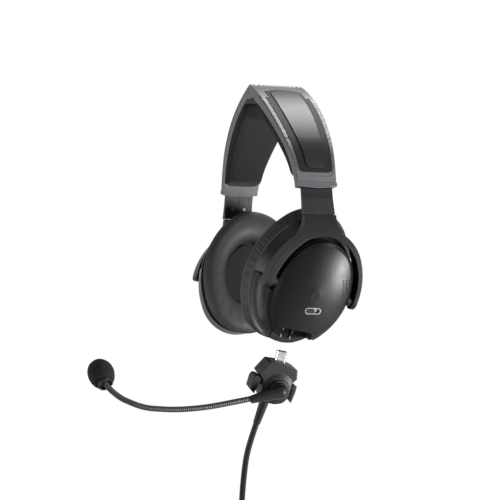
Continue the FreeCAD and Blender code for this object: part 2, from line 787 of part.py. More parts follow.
def cover_blank(lower=0.0):
    """The domed cover, or its hollow when lowered."""
    crown = dome_crown_depth - lower
    base = drum_top_depth + (0 if lower == 0 else -0.1)
    edge = cover_edge_depth - lower
    face = cover_edge_depth + edge_band_rise - lower
    inset = 0 if lower == 0 else cup_wall
    skirt = drum_prism(inset, base, edge) if edge > base else None
    band = loft([drum_oval(inset, max(edge, base)), drum_oval(edge_band + inset, face)], True)
    rise = crown - face

    def ring(share, height):
        long = (drum_long - edge_band - inset) * share
        short = (drum_short - edge_band - inset) * share
        return oval(long, short, face + rise * height, drum_rear, -drum_down)
    dome = loft([ring(1.0, 0.0), ring(0.82, 0.36), ring(0.6, 0.67), ring(0.35, 0.88), ring(0.12, 1.0)])
    shape = band.fuse(dome)
    if skirt:
        shape = shape.fuse(skirt)
    return put(shape, oval_place)


recess_points = [(-17.4, -6), (-17.4, 17.6), (-15.4, 21.0), (-10.8, 27.4), (-9.0, recess_ceiling),
                 (13.4, recess_ceiling), (15.4, 26.4), (19.0, 19.4), (19.0, -6)]


def recess_prism(grow, back):
    """The socket recess in the module's axes, grown by a wall or shrunk by a gap."""
    wire = polygon([V(x, y, 0) for x, y in recess_points])
    if grow:
        wire = wire.makeOffset2D(grow, 2)
    return put(prism(wire, back, 40), module_place)


def receptacle_prism(grow, low, high):
    return put(block(-plug_width / 2 - grow, plug_width / 2 + grow, low, high,
                     -plug_depth / 2 - grow, plug_depth / 2 + grow), module_place)


def vents(blank):
    """Blind holes that follow the dome's surface."""
    holes = []
    for column in range(vent_columns):
        for row in range(vent_rows):
            spot = vent_corner + vent_across * column + vent_down * row
            line = put(Part.LineSegment(spot, spot + V(0, 0, 40)).toShape(), cup_place).common(blank)
            top = max((vertex.Point - cup_centre).dot(cup_out) for vertex in line.Vertexes)
            holes.append(rod(spot + V(0, 0, top - vent_depth), spot + V(0, 0, top + 2), vent_radius))
    return put(Part.makeCompound(holes), cup_place)


def pivot_rods(radius, inner, outer):
    rods = []
    for side in (-1, 1):
        rods.append(put(rod(V(side * inner, 0, 0), V(side * outer, 0, 0), radius), pivot_place))
    return rods[0].fuse(rods[1])


def make_cups():
    blank = housing_blank()
    shell = blank.cut(housing_cavity())
    drum_solid = put(drum_prism(0, housing_back, drum_top_depth), oval_place)
    bosses = pivot_rods(pivot_boss_radius, pivot_span - 14, pivot_span + 12).common(drum_solid)
    keep_out = put(drum_prism(cup_wall + pivot_pin_in_cup, -20, 20), oval_place)
    shell = shell.fuse(bosses.cut(keep_out))
    shell = shell.cut(pivot_rods(pivot_pin_radius + running_gap, pivot_span - 14, pivot_span + 14))
    walls = recess_prism(recess_wall, recess_back - recess_wall).common(blank)
    recess = recess_prism(0, recess_back)
    holder = receptacle_prism(receptacle_wall + recess_wall, recess_ceiling, recess_ceiling + receptacle_depth)
    dome = cover_blank()
    cover = dome.cut(cover_blank(cup_wall)).cut(vents(dome))
    left = shell.fuse(walls).fuse(holder.common(blank)).cut(recess)
    left = left.cut(receptacle_prism(receptacle_wall + seat_gap, recess_ceiling - 3,
                                     recess_ceiling + receptacle_depth + 10))
    low, high = recess_back - 0.2, recess_back + relief_plate
    plate = prism(polygon([V(-7.5, -6, 0), V(12.5, -6, 0), V(10.5, 16.0, 0), V(9.0, 25.4, 0), V(-3.0, 25.4, 0),
                           V(-9.5, 18.4, 0)]), low, high)
    for x0, x1, y0, y1 in ((4.0, 5.2, 17.2, 26.0), (-1.4, 4.6, 20.6, 21.6)):
        plate = plate.cut(block(x0, x1, y0, y1, recess_back, high + 1))
    leaves = []
    for x, y, wide, tall in ((-1.1, 17.8, 1.3, 2.2), (6.2, 17.4, 1.2, 2.2), (-0.7, 23.4, 0.7, 2.8), (7.2, 22.8, 0.7, 3.6)):
        leaves.append(block(x - wide / 2, x + wide / 2, y - tall / 2, y + tall / 2, recess_back, high + 0.2))
    leaves = put(Part.makeCompound(leaves), module_place)
    left = left.fuse(put(plate, module_place).common(blank)).cut(leaves)
    save("socket_contacts", leaves)
    save("left_cup_housing", left)
    right = mirrored(shell.fuse(walls).cut(recess))
    save("right_cup_housing", right)
    cap = recess_prism(-seat_gap * 2, recess_back + 0.2).common(blank.fuse(cover_blank()))
    cap = cap.cut(recess_prism(-1.8, recess_back + 2.4).common(housing_cavity().fuse(cover_blank(cup_wall))))
    save("right_socket_cap", mirrored(cap))
    notched = cover.cut(recess)
    save("right_cup_cover", mirrored(notched))
    switch = capsule_prism(switch_place, switch_long, switch_wide, switch_floor_depth, switch_top_depth)
    hole = put(capsule_prism(switch_place, switch_long + 2 * seat_gap, switch_wide + 2 * seat_gap, 8, 20), cup_place)
    slot = capsule_prism(switch_place, switch_slot_long, switch_slot_wide, switch_floor_depth + 0.8, 20)
    knob_place = switch_place - V((switch_slot_long - knob_long) / 2 - 0.15, 0, 0)
    knob = capsule_prism(knob_place, knob_long, switch_slot_wide - 0.3, switch_floor_depth + 0.9,
                         switch_top_depth + 0.5)
    save("mode_switch_bezel", put(switch.cut(slot), cup_place))
    save("mode_switch_knob", put(knob, cup_place))
    save("left_cup_cover", notched.cut(hole))
    socket = receptacle_prism(receptacle_wall, recess_ceiling - 0.6, recess_ceiling + receptacle_depth + 0.6)
    socket = socket.cut(receptacle_prism(0.25, recess_ceiling - 2, recess_ceiling + receptacle_depth))
    save("socket_block", socket)


def make_cup_inside():
    flange = oval_prism(rim_long - flange_inset, rim_short - flange_inset, housing_back - flange_thickness,
                        housing_back)
    flange = flange.cut(oval_prism(ear_long + 2, ear_short + 2, -30, 0))
    save_both("cushion_flange", put(flange, oval_place))
    front = housing_back - flange_thickness - soft_gap
    depth = front - cushion_back
    outer = loft([oval(cushion_long - 7.0, cushion_short - 6.6, front),
                  oval(cushion_long - 3.8, cushion_short - 3.8, front - depth * 0.18),
                  oval(cushion_long, cushion_short, front - depth * 0.42),
                  oval(cushion_long - 1.2, cushion_short - 1.2, front - depth * 0.7),
                  oval(cushion_long - 5.4, cushion_short - 5.0, front - depth * 0.93),
                  oval(cushion_long - 10.0, cushion_short - 9.0, cushion_back)])
    inner = loft([oval(ear_long + 2.2, ear_short + 2.0, front + 0.1),
                  oval(ear_long + 0.4, ear_short + 0.4, front - depth * 0.35),
                  oval(ear_long, ear_short, front - depth * 0.7),
                  oval(ear_long + 2.2, ear_short + 2.2, cushion_back - 0.1)])
    save_both("ear_cushion", put(outer.cut(inner), oval_place))
    scrim = oval_prism(ear_long - 0.6, ear_short - 0.6, scrim_depth, scrim_depth + scrim_thickness)
    save_both("ear_scrim", put(scrim, oval_place))
    baffle_back = scrim_depth + scrim_thickness + soft_gap
    baffle_front = housing_back
    plate = oval_prism(ear_long + 1.7, ear_short + 1.7, baffle_front - baffle_thickness, baffle_front)
    wall = oval_prism(ear_long - 0.6, ear_short - 0.6, baffle_back, baffle_front - baffle_thickness)
    wall = wall.cut(oval_prism(ear_long - 2.2, ear_short - 2.2, baffle_back - 1, baffle_front))
    plate = plate.fuse(wall).cut(rod(V(0, 0, -40), V(0, 0, 0), driver_radius - 1.5))
    save_both("speaker_baffle", put(plate, oval_place))
    driver = rod(V(0, 0, baffle_front), V(0, 0, baffle_front + driver_depth * 0.4), driver_radius)
    driver = driver.fuse(cone(V(0, 0, baffle_front + driver_depth * 0.4), V(0, 0, baffle_front + driver_depth),
                              driver_radius - 3, driver_radius * 0.5))
    save_both("speaker", put(driver, oval_place))
    board_back = baffle_front + driver_depth + 2
    shoulder = baffle_front + driver_depth * 0.4
    board = oval_prism(24, 17, board_back, board_back + board_thickness, drum_rear, 2.5)
    for angle in (34, 126, 278):
        a = math.radians(angle)
        foot = V(math.cos(a), math.sin(a), 0) * (driver_radius - 1.5)
        board = board.fuse(rod(foot + V(0, 0, shoulder), foot + V(0, 0, board_back + 0.2), 1.3))
    save_both("circuit_board", put(board, oval_place))


def fork_side():
    """The fork seen edge on: outer face bending in to the slider, inner face above it."""
    low, high = -40.0, 62.0
    bend_drop = fork_bend_radius - math.sqrt(fork_bend_radius ** 2 - high ** 2)
    bend_middle = fork_bend_radius - math.sqrt(fork_bend_radius ** 2 - (high / 2) ** 2)
    back_run = high - fork_back_bend_start
    back_drop = fork_back_bend_radius - math.sqrt(fork_back_bend_radius ** 2 - back_run ** 2)
    back_middle = fork_back_bend_radius - math.sqrt(fork_back_bend_radius ** 2 - (back_run / 2) ** 2)
    wire = Part.Wire([
        Part.LineSegment(V(0, low, fork_face), V(0, 0, fork_face)).toShape(),
        Part.Arc(V(0, 0, fork_face), V(0, high / 2, fork_face - bend_middle),
                 V(0, high, fork_face - bend_drop)).toShape(),
        Part.LineSegment(V(0, high, fork_face - bend_drop), V(0, high, fork_back - back_drop)).toShape(),
        Part.Arc(V(0, high, fork_back - back_drop),
                 V(0, fork_back_bend_start + back_run / 2, fork_back - back_middle),
                 V(0, fork_back_bend_start, fork_back)).toShape(),
        Part.LineSegment(V(0, fork_back_bend_start, fork_back), V(0, low, fork_back)).toShape(),
        Part.LineSegment(V(0, low, fork_back), V(0, low, fork_face)).toShape()])
    face = Part.Face(wire)
    face.translate(V(-80, 0, 0))
    return put(face.extrude(V(160, 0, 0)), cup_place)


def make_fork():
    ring = put(oval_prism(fork_long, fork_short, -30, 30, drum_rear - fork_forward, -drum_down), oval_place)
    stem = Part.Wire([
        Part.LineSegment(V(stem_front, 62, 0), V(stem_front, 53.5, 0)).toShape(),
        Part.Arc(V(stem_front, 53.5, 0), V(stem_front - 2.2, 42.4, 0), V(stem_front - 9.4, 33.4, 0)).toShape(),
        Part.LineSegment(V(stem_front - 9.4, 33.4, 0), V(4, 20, 0)).toShape(),
        Part.LineSegment(V(4, 20, 0), V(stem_rear + 12.4, 34.9, 0)).toShape(),
        Part.Arc(V(stem_rear + 12.4, 34.9, 0), V(stem_rear + 3.2, 43.4, 0), V(stem_rear, 54.2, 0)).toShape(),
        Part.LineSegment(V(stem_rear, 54.2, 0), V(stem_rear, 62, 0)).toShape(),
        Part.LineSegment(V(stem_rear, 62, 0), V(stem_front, 62, 0)).toShape()])
    plan = ring.fuse(put(prism(stem, -30, 30), cup_place))
    hole = put(oval_prism(drum_long + fork_gap, drum_short + fork_gap, -31, 31, drum_rear, -drum_down), oval_place)
    region = pivot_region(tip_radius, 110)
    body = plan.cut(hole).common(fork_side()).common(region)
    ceiling = put(block(-90, 90, -90, 90, -split_gap / 2, 60), swivel_place)
    body = body.cut(ceiling)
    drum_clear = put(drum_prism(-pivot_washer_gap, -30, 30), oval_place)
    ring_zone = put(oval_prism(fork_long - 2.5, fork_short - 2.5, -30, 30, drum_rear - fork_forward, -drum_down),
                    oval_place)
    washers = pivot_rods(pivot_boss_radius, pivot_span - 14, pivot_span + 10).common(ring_zone).cut(drum_clear)
    body = body.fuse(washers)
    outer_reach = put(oval_prism(fork_long - 1.6, fork_short - 1.6, -30, 30, drum_rear - fork_forward, -drum_down),
                      oval_place)
    inner_reach = put(drum_prism(cup_wall + pivot_pin_in_cup, -30, 30), oval_place)
    pins = pivot_rods(pivot_pin_radius, pivot_span - 14, pivot_span + 14).common(outer_reach).cut(inner_reach)
    body = body.cut(pivot_rods(pivot_pin_radius, pivot_span - 14, pivot_span + 14).common(outer_reach))
    stud = rod(swivel_point - swivel_axis * stud_in_fork, swivel_point + swivel_axis * stud_in_slider, stud_radius)
    body = body.cut(stud)
    collar = rod(swivel_point + swivel_axis * (stud_in_slider - stud_collar),
                 swivel_point + swivel_axis * stud_in_slider, stud_collar_radius)
    save_both("fork", body)
    save_both("pivot_pins", pins)
    save_both("swivel_pin", stud.fuse(collar))


def make_module():
    outline = rounded_polygon([V(-9.4, -0.2, 0), V(2.0, 0.2, 0), V(8.4, -1.2, 0), V(12.8, -2.4, 0), V(14.3, -9.4, 0),
                               V(11.4, -13.2, 0), V(11.0, -24.0, 0), V(8.4, -29.2, 0), V(1.6, -31.2, 0),
                               V(-7.0, -30.6, 0), V(-9.9, -26.0, 0), V(-11.3, -14.2, 0), V(-15.4, -10.4, 0)],
                              [1.5, 0.7, 0.7, 0.9, 0.9, 0.9, 5.0, 6.0, 8.0, 2.0, 0.9, 0.7, 0.9])
    body = prism(outline, module_back, module_front)
    boss_top = V(boss_place.x, boss_place.y, module_front + boss_height)
    front_boss = rod(V(boss_place.x, boss_place.y, module_front - 1), boss_top, boss_radius)
    slope = cone(V(boss_place.x, boss_place.y, module_front - 0.4), boss_top, boss_foot_radius, boss_radius)
    front_boss = front_boss.fuse(slope.common(prism(outline, 0, 20)))
    cavity = block(-7.6, 7.6, -26.5, -2.6, module_back + module_wall, module_front - module_wall)
    spindle_hole = rod(V(boss_place.x, boss_place.y, 0), V(boss_place.x, boss_place.y, 20), 2.5 + running_gap)
    plug_hole = block(-plug_width / 2, plug_width / 2, -plug_in_body, 2, -plug_depth / 2, plug_depth / 2)
    relief_way = (relief_end - relief_start).normalize()
    relief_seat = rod(relief_start - relief_way * relief_seat_depth, relief_start + relief_way * 6, relief_big_radius)
    body = body.fuse(front_boss).cut(cavity).cut(spindle_hole).cut(plug_hole).cut(relief_seat)
    pins, levers = [], {}
    lever_outlines = {
        "front_latch": ([(-15.4, -12.4), (-13.2, -12.9), (-12.9, -14.6), (-10.1, -14.6), (-10.1, -17.4),
                         (-13.4, -17.8), (-15.3, -26.0), (-18.8, -23.0), (-18.5, -15.4), (-17.8, -13.3),
                         (-16.8, -12.5)], front_pivot),
        "rear_latch": ([(16.4, -15.2), (14.0, -14.6), (13.3, -15.4), (10.0, -15.4), (10.0, -18.2), (13.4, -18.6),
                        (13.0, -26.6), (15.1, -28.4), (16.3, -20.0)], rear_pivot)}
    for name, (points, pivot) in lever_outlines.items():
        side = -1 if pivot.x < 0 else 1
        plate = prism(polygon([V(x, y, 0) for x, y in points]), -lever_half_depth, lever_half_depth)
        inner_x = side * (lug_reach + slide_gap)
        for low, high in ((-lever_half_depth - 1, -lug_half_depth), (lug_half_depth, lever_half_depth + 1)):
            x0, x1 = sorted((side * 5.0, inner_x))
            plate = plate.cut(block(x0, x1, -30, -10, low, high))
        pin_start = pivot - V(0, 0, lug_half_depth + 2.4)
        pin_end = pivot + V(0, 0, lug_half_depth + 2.4)
        x0, x1 = sorted((side * lug_inner, side * lug_reach))
        ear = block(x0, x1, pivot.y - 2.2, pivot.y + 2.3, -lug_half_depth - 2.6, lug_half_depth + 2.6)
        x0, x1 = sorted((side * lug_inner, side * 20))
        notch = block(x0, x1, pivot.y - 2.9, pivot.y + 2.9, -lug_half_depth - 0.3, lug_half_depth + 0.3)
        body = body.fuse(ear).cut(notch).cut(rod(pin_start, pin_end, lever_pin_radius))
        levers[name] = plate.cut(rod(pin_start - V(0, 0, 4), pin_end + V(0, 0, 4),
                                     lever_pin_radius + running_gap))
        pins.append(rod(pin_start, pin_end, lever_pin_radius))
    half = block(-40, 40, -60, 40, module_split, 40)
    save("module_front_shell", put(body.common(half), module_place))
    save("module_rear_shell", put(body.cut(half), module_place))
    save("latch_pins", put(Part.makeCompound(pins), module_place))
    for name, lever in levers.items():
        save(name, put(lever, module_place))
    shell = block(-plug_width / 2, plug_width / 2, -plug_in_body, plug_length, -plug_depth / 2, plug_depth / 2)
    upright = [e for e in shell.Edges if abs(e.tangentAt(e.FirstParameter).y) > 0.9]
    shell = shell.makeFillet(1.0, upright)
    shell = shell.cut(block(-plug_width / 2 + plug_wall + 0.3, plug_width / 2 - plug_wall - 0.3, 1.0, plug_length + 1,
                            -plug_depth / 2 + plug_wall, plug_depth / 2 - plug_wall))
    save("plug_shell", put(shell, module_place))
    save("plug_tongue", put(block(-2.9, 2.9, 1.0, plug_length - 0.8, -0.5, 0.5), module_place))


def make_boom():
    face = module_front + boss_height + elbow_gap
    centre = V(boss_place.x, boss_place.y, elbow_axis_depth)
    far = V(elbow_end.x, elbow_end.y, elbow_axis_depth)
    disc = rod(V(boss_place.x, boss_place.y, face), centre, elbow_disc_radius - 1.4)
    base = rod(V(boss_place.x, boss_place.y, face), V(boss_place.x, boss_place.y, face + 1.6), elbow_disc_radius)
    arm = cone(centre, far, elbow_big_radius, elbow_end_radius)
    ball = Part.makeSphere(elbow_big_radius, centre)
    spindle = rod(V(boss_place.x, boss_place.y, module_front - module_wall - 1), centre, 2.5)
    elbow = put(disc.fuse(base).fuse(arm).fuse(ball).fuse(spindle), module_place)
    boom, length = tube(route(boom_points)[0], boom_radius)
    print("boom length %.1f, volume over section times length %.3f" %
          (length, boom.Volume / (math.pi * boom_radius ** 2 * length)))
    save("boom_elbow", elbow.cut(rod(boom_points[0], boom_points[1], boom_radius)))
    save("boom_tube", boom)
    axis = V(mic_axis).normalize()
    heart = boom_points[-1] + axis * mic_from_boom_end
    place = axes(heart, V(0, 1, 0), axis)
    capsule = put(rod(V(0, 0, -capsule_rear), V(0, 0, capsule_front), capsule_radius), place)
    end_way = (boom_points[-1] - boom_points[-2]).normalize()
    save("mic_capsule", capsule.cut(rod(boom_points[-1] - end_way * 8, boom_points[-1], boom_radius)))
    bore = capsule_radius + soft_gap
    profile = Part.Wire([
        Part.LineSegment(V(bore, 0, -screen_rear), V(screen_neck, 0, -screen_rear)).toShape(),
        Part.Arc(V(screen_neck, 0, -screen_rear), V(screen_radius * 0.9, 0, -screen_rear * 0.56),
                 V(screen_radius, 0, 0)).toShape(),
        Part.Arc(V(screen_radius, 0, 0), V(screen_radius * 0.72, 0, screen_front * 0.69),
                 V(0.4, 0, screen_front)).toShape(),
        Part.LineSegment(V(0.4, 0, screen_front), V(0, 0, screen_front)).toShape(),
        Part.LineSegment(V(0, 0, screen_front), V(0, 0, capsule_front + soft_gap)).toShape(),
        Part.LineSegment(V(0, 0, capsule_front + soft_gap), V(bore, 0, capsule_front + soft_gap)).toShape(),
        Part.LineSegment(V(bore, 0, capsule_front + soft_gap), V(bore, 0, -screen_rear)).toShape()])
    foam = Part.Face(profile).revolve(V(0, 0, 0), V(0, 0, 1), 360)
    save("mic_windscreen", put(foam, place))
    ring_front = V(0, 0, -screen_rear - seat_gap)
    ring = rod(ring_front - V(0, 0, ring_length), ring_front, ring_outer_radius)
    ring = ring.cut(rod(V(0, 0, -20), V(0, 0, 20), capsule_radius + running_gap))
    save("mic_ring", put(ring, place).cut(rod(boom_points[-1] - end_way * 8, boom_points[-1] + end_way, boom_radius + 1.2)))


def coil_edges():
    """Two flat spirals side by side: in on the first, across, and out on the second."""
    edges = []
    centre = V(coil_plane_x, coil_side_y + coil_outer_radius, coil_centre_z)
    step = coil_pitch / 2
    radius = coil_outer_radius
    x = coil_plane_x
    point = V(x, coil_side_y, centre.z)
    way = V(0, 0, -1)
    half_turns = 2 * coil_turns
    for layer in (0, 1):
        for half in range(half_turns):
            side = 1 if half % 2 == 0 else -1
            end = point + V(0, side * 2 * radius, 0)
            middle = point + V(0, side * radius, -side * radius)
            if layer == 0 and half == half_turns - 1:
                end = end + V(coil_pitch, 0, 0)
                edges += biarc(point, way, end, V(0, 0, -way.z))
            else:
                edges.append(Part.Arc(point, middle, end).toShape())
            point = end
            way = V(0, 0, -way.z)
            if layer == 0 and half < half_turns - 1:
                radius -= step
            else:
                radius += step
    return edges, point


def least_gap(path, radius, reach):
    """The smallest space between stretches of the path that are farther apart than a reach along it."""
    points = path.discretize(Distance=3.0)
    skip = int(reach / 3.0)
    least = 1e9
    for i, a in enumerate(points):
        for b in points[i + skip:]:
            least = min(least, a.distanceToPoint(b))
    return least - 2 * radius


def make_cord():
    start = module_place.multVec(relief_start)
    end = module_place.multVec(relief_end)
    way = (end - start).normalize()
    relief = cone(start, end, relief_big_radius, relief_small_radius)
    save("cord_strain_relief", relief.fuse(rod(start - way * relief_seat_depth, start, relief_big_radius)))
    coil_top = V(coil_plane_x, coil_side_y, coil_centre_z)
    lead_points = [end, end + way * 20, V(coil_plane_x + 35.2, coil_side_y - 10.7, -142.0),
                   V(coil_plane_x + 23.4, coil_side_y - 8.2, -166.0), V(coil_plane_x + 4.3, coil_side_y - 1.6, -190.0),
                   V(coil_plane_x + 0.5, coil_side_y - 0.3, -214.0), coil_top]
    print("lead points", [tuple(round(c, 1) for c in p) for p in lead_points])
    edges, radii = route(lead_points)
    lead, lead_length = tube(edges, cord_radius)
    print("lead radii", ["%.0f" % r for r in radii], "length %.0f" % lead_length,
          "volume ratio %.4f" % (lead.Volume / (math.pi * cord_radius ** 2 * lead_length)))
    save("cord_lead", lead)
    edges, tail_top = coil_edges()
    coil, coil_length = tube(edges, cord_radius)
    print("coil length %.0f, least gap %.2f, volume ratio %.4f" % (
        coil_length, least_gap(Part.Wire(edges), cord_radius, 40),
        coil.Volume / (math.pi * cord_radius ** 2 * coil_length)))
    save("cord_coil", coil)
    tail_end = tail_top - V(0, 0, tail_length)
    tail = rod(tail_top, tail_end, cord_radius)
    save("cord_tail", tail)
    print("tail", tail_top, tail_end, "cord length %.0f" % (lead_length + coil_length + tail_length))
    inner = coil_outer_radius - (coil_turns - 0.5) * coil_pitch
    x0 = coil_plane_x - cord_radius - soft_gap
    x1 = coil_plane_x + coil_pitch + cord_radius + soft_gap
    y0 = coil_side_y - cord_radius - soft_gap
    y1 = coil_side_y + coil_outer_radius - inner + coil_pitch + cord_radius + soft_gap
    z = coil_centre_z
    tie = block(x0 - tie_thickness, x1 + tie_thickness, y0 - tie_thickness, y1 + tie_thickness,
                z - tie_height / 2, z + tie_height / 2)
    save("cord_tie", tie.cut(block(x0, x1, y0, y1, z - 20, z + 20)))
    boot_end = tail_end - V(0, 0, plug_boot_length)
    shell_end = boot_end - V(0, 0, plug_body_length)
    shell = cone(boot_end, tail_end, plug_body_radius - 2.2, cord_radius + 1.0)
    shell = shell.fuse(rod(shell_end, boot_end, plug_body_radius - 0.8))
    grip_start = boot_end - V(0, 0, 4)
    shell = shell.fuse(rod(shell_end + V(0, 0, 12), grip_start, plug_body_radius))
    shell = shell.cut(rod(shell_end - V(0, 0, 1), shell_end + V(0, 0, 11), plug_body_radius - 2.0))
    save("panel_plug_shell", shell)
    insert = rod(shell_end + V(0, 0, 7), shell_end + V(0, 0, 11), plug_body_radius - 2.2)
    for i in range(6):
        angle = math.radians(60 * i)
        spot = shell_end + V(3.2 * math.cos(angle), 3.2 * math.sin(angle), 1.5)
        insert = insert.fuse(rod(spot, spot + V(0, 0, 6), 0.6))
    save("panel_plug_pins", insert)


make_arms()
make_panel()
make_pad()
make_slider()
make_cups()
make_cup_inside()
make_fork()
make_module()
make_boom()
make_cord()
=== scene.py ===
import bpy
import math
from mathutils import Vector, Matrix, noise


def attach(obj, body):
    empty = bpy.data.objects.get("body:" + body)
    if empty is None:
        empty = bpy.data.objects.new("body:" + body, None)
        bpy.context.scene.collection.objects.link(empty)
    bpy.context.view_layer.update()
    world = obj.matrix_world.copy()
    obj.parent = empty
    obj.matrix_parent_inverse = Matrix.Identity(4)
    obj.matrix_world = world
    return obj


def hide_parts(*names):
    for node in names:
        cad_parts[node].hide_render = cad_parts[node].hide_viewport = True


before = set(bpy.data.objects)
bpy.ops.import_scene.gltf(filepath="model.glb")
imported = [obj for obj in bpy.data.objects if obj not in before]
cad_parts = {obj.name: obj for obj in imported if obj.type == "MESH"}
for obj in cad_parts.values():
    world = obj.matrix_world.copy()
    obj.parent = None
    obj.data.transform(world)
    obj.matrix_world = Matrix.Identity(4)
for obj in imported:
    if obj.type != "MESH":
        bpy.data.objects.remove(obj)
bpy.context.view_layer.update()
scene = bpy.context.scene

# The photograph's camera: focal length and picture width in pixels, sensor in millimetres, nearest and furthest
# sight in metres. Then the picture's own directions and the camera's place in metres
view = {"focal": 1447.01, "width": 500, "sensor": 36.0, "near": 0.05, "far": 30.0}
towardRight = Vector((0.33872, 0.94086, 0.00725))
towardTop = Vector((-0.00171, -0.00710, 0.99997))
towardCamera = Vector((0.94089, -0.33872, -0.00080))
cameraPlace = Vector((1.06573, -0.40411, 0.02547))


def addCamera():
    data = bpy.data.cameras.new("camera")
    data.sensor_width = view["sensor"]
    data.sensor_fit = "HORIZONTAL"
    data.lens = view["focal"] / view["width"] * view["sensor"]
    data.clip_start = view["near"]
    data.clip_end = view["far"]
    camera = bpy.data.objects.new("camera", data)
    turn = Matrix((towardRight, towardTop, towardCamera)).transposed().to_4x4()
    camera.matrix_world = Matrix.Translation(cameraPlace) @ turn
    scene.collection.objects.link(camera)
    scene.camera = camera


# Studio: each softbox has its place towards the picture's right, top and camera in metres, size and power
studioCentre = Vector((0, 0, -0.02))
studioTarget = Vector((0, 0, -0.03))
ambient = 0.05
softboxes = {
    "rightSoftbox": {"place": (0.76, -0.20, 0.42), "size": (0.30, 0.30), "power": 42},
    "lowSoftbox": {"place": (0.4, -1.0, 0.4), "size": (0.25, 0.25), "power": 4},
    "bandSoftbox": {"place": (0.70, 0.60, 0.50), "size": (0.2, 0.2), "power": 4},
    "topSoftbox": {"place": (0.33, 1.2, -0.46), "size": (0.44, 0.44), "power": 15},
    "streakSoftbox": {"place": (-0.75, 0.06, 0.76), "size": (0.07, 0.5), "power": 6},
    "leftSoftbox": {"place": (-1.0, -0.30, 0.12), "size": (0.45, 0.9), "power": 14},
    "fillSoftbox": {"place": (-0.4, 0.9, 1.0), "size": (0.6, 0.6), "power": 3}}


def addSoftbox(name, place, size, power):
    data = bpy.data.lights.new(name, "AREA")
    data.shape = "RECTANGLE"
    data.size, data.size_y = size
    data.energy = power
    lamp = bpy.data.objects.new(name, data)
    right, top, near = place
    spot = studioCentre + towardRight * right + towardTop * top + towardCamera * near
    way = spot - studioTarget
    lamp.matrix_world = Matrix.Translation(spot) @ way.to_track_quat("Z", "Y").to_matrix().to_4x4()
    scene.collection.objects.link(lamp)


# Shader maths: a socket that can be added, multiplied and compared
class Wire:
    def __init__(self, shader, socket):
        self.shader = shader
        self.socket = socket

    def maths(self, operation, *others):
        return self.shader.node("ShaderNodeMath", {"operation": operation}, dict(enumerate((self,) + others)))

    def __add__(self, other):
        return self.maths("ADD", other)

    def __sub__(self, other):
        return self.maths("SUBTRACT", other)

    def __mul__(self, other):
        return self.maths("MULTIPLY", other)

    def __truediv__(self, other):
        return self.maths("DIVIDE", other)

    def __rsub__(self, other):
        return (self * -1) + other

    __radd__ = __add__
    __rmul__ = __mul__

    def power(self, other):
        return self.maths("POWER", other)

    def size(self):
        return self.maths("ABSOLUTE")

    def turn(self, other):
        return self.maths("ARCTAN2", other)

    def sine(self):
        return self.maths("SINE")

    def stripes(self, pitch):
        return (self * (2 * math.pi / pitch)).sine()

    def fraction(self):
        return self.maths("FRACT")

    def most(self, other):
        return self.maths("MAXIMUM", other)

    def step(self, low, high):
        return self.shader.node("ShaderNodeMapRange", {"interpolation_type": "SMOOTHSTEP"},
                                {"Value": self, "From Min": low, "From Max": high})


class Nodes:
    def __init__(self, tree):
        self.tree = tree

    def plug(self, socket, value):
        if isinstance(value, Wire):
            self.tree.links.new(value.socket, socket)
        elif hasattr(value, "__len__") and len(value) == 3 and socket.type == "RGBA":
            socket.default_value = (*value, 1.0)
        else:
            socket.default_value = value

    def node(self, kind, settings, inputs, output=0):
        made = self.tree.nodes.new(kind)
        for key, value in settings.items():
            setattr(made, key, value)
        for key, value in inputs.items():
            self.plug(made.inputs[key], value)
        if isinstance(output, list):
            return [Wire(self, made.outputs[one]) for one in output]
        return Wire(self, made.outputs[output]) if made.outputs else made


def addStudio():
    world = bpy.data.worlds.new("studio")
    scene.world = world
    world.use_nodes = True
    world.node_tree.nodes.clear()
    nodes = Nodes(world.node_tree)
    seen, shiny, through = nodes.node("ShaderNodeLightPath", {}, {},
                                      ["Is Camera Ray", "Is Glossy Ray", "Is Transmission Ray"])
    soft = nodes.node("ShaderNodeBackground", {}, {"Color": (1, 1, 1), "Strength": ambient})
    white = nodes.node("ShaderNodeBackground", {}, {"Color": (1, 1, 1), "Strength": 1.0})
    both = nodes.node("ShaderNodeMixShader", {}, {0: seen.most(shiny).most(through), 1: soft, 2: white})
    nodes.node("ShaderNodeOutputWorld", {}, {"Surface": both})
    for name, values in softboxes.items():
        addSoftbox(name, **values)
    scene.view_settings.view_transform = "Standard"


plainSpecular = 0.08
bevelSamples = 6


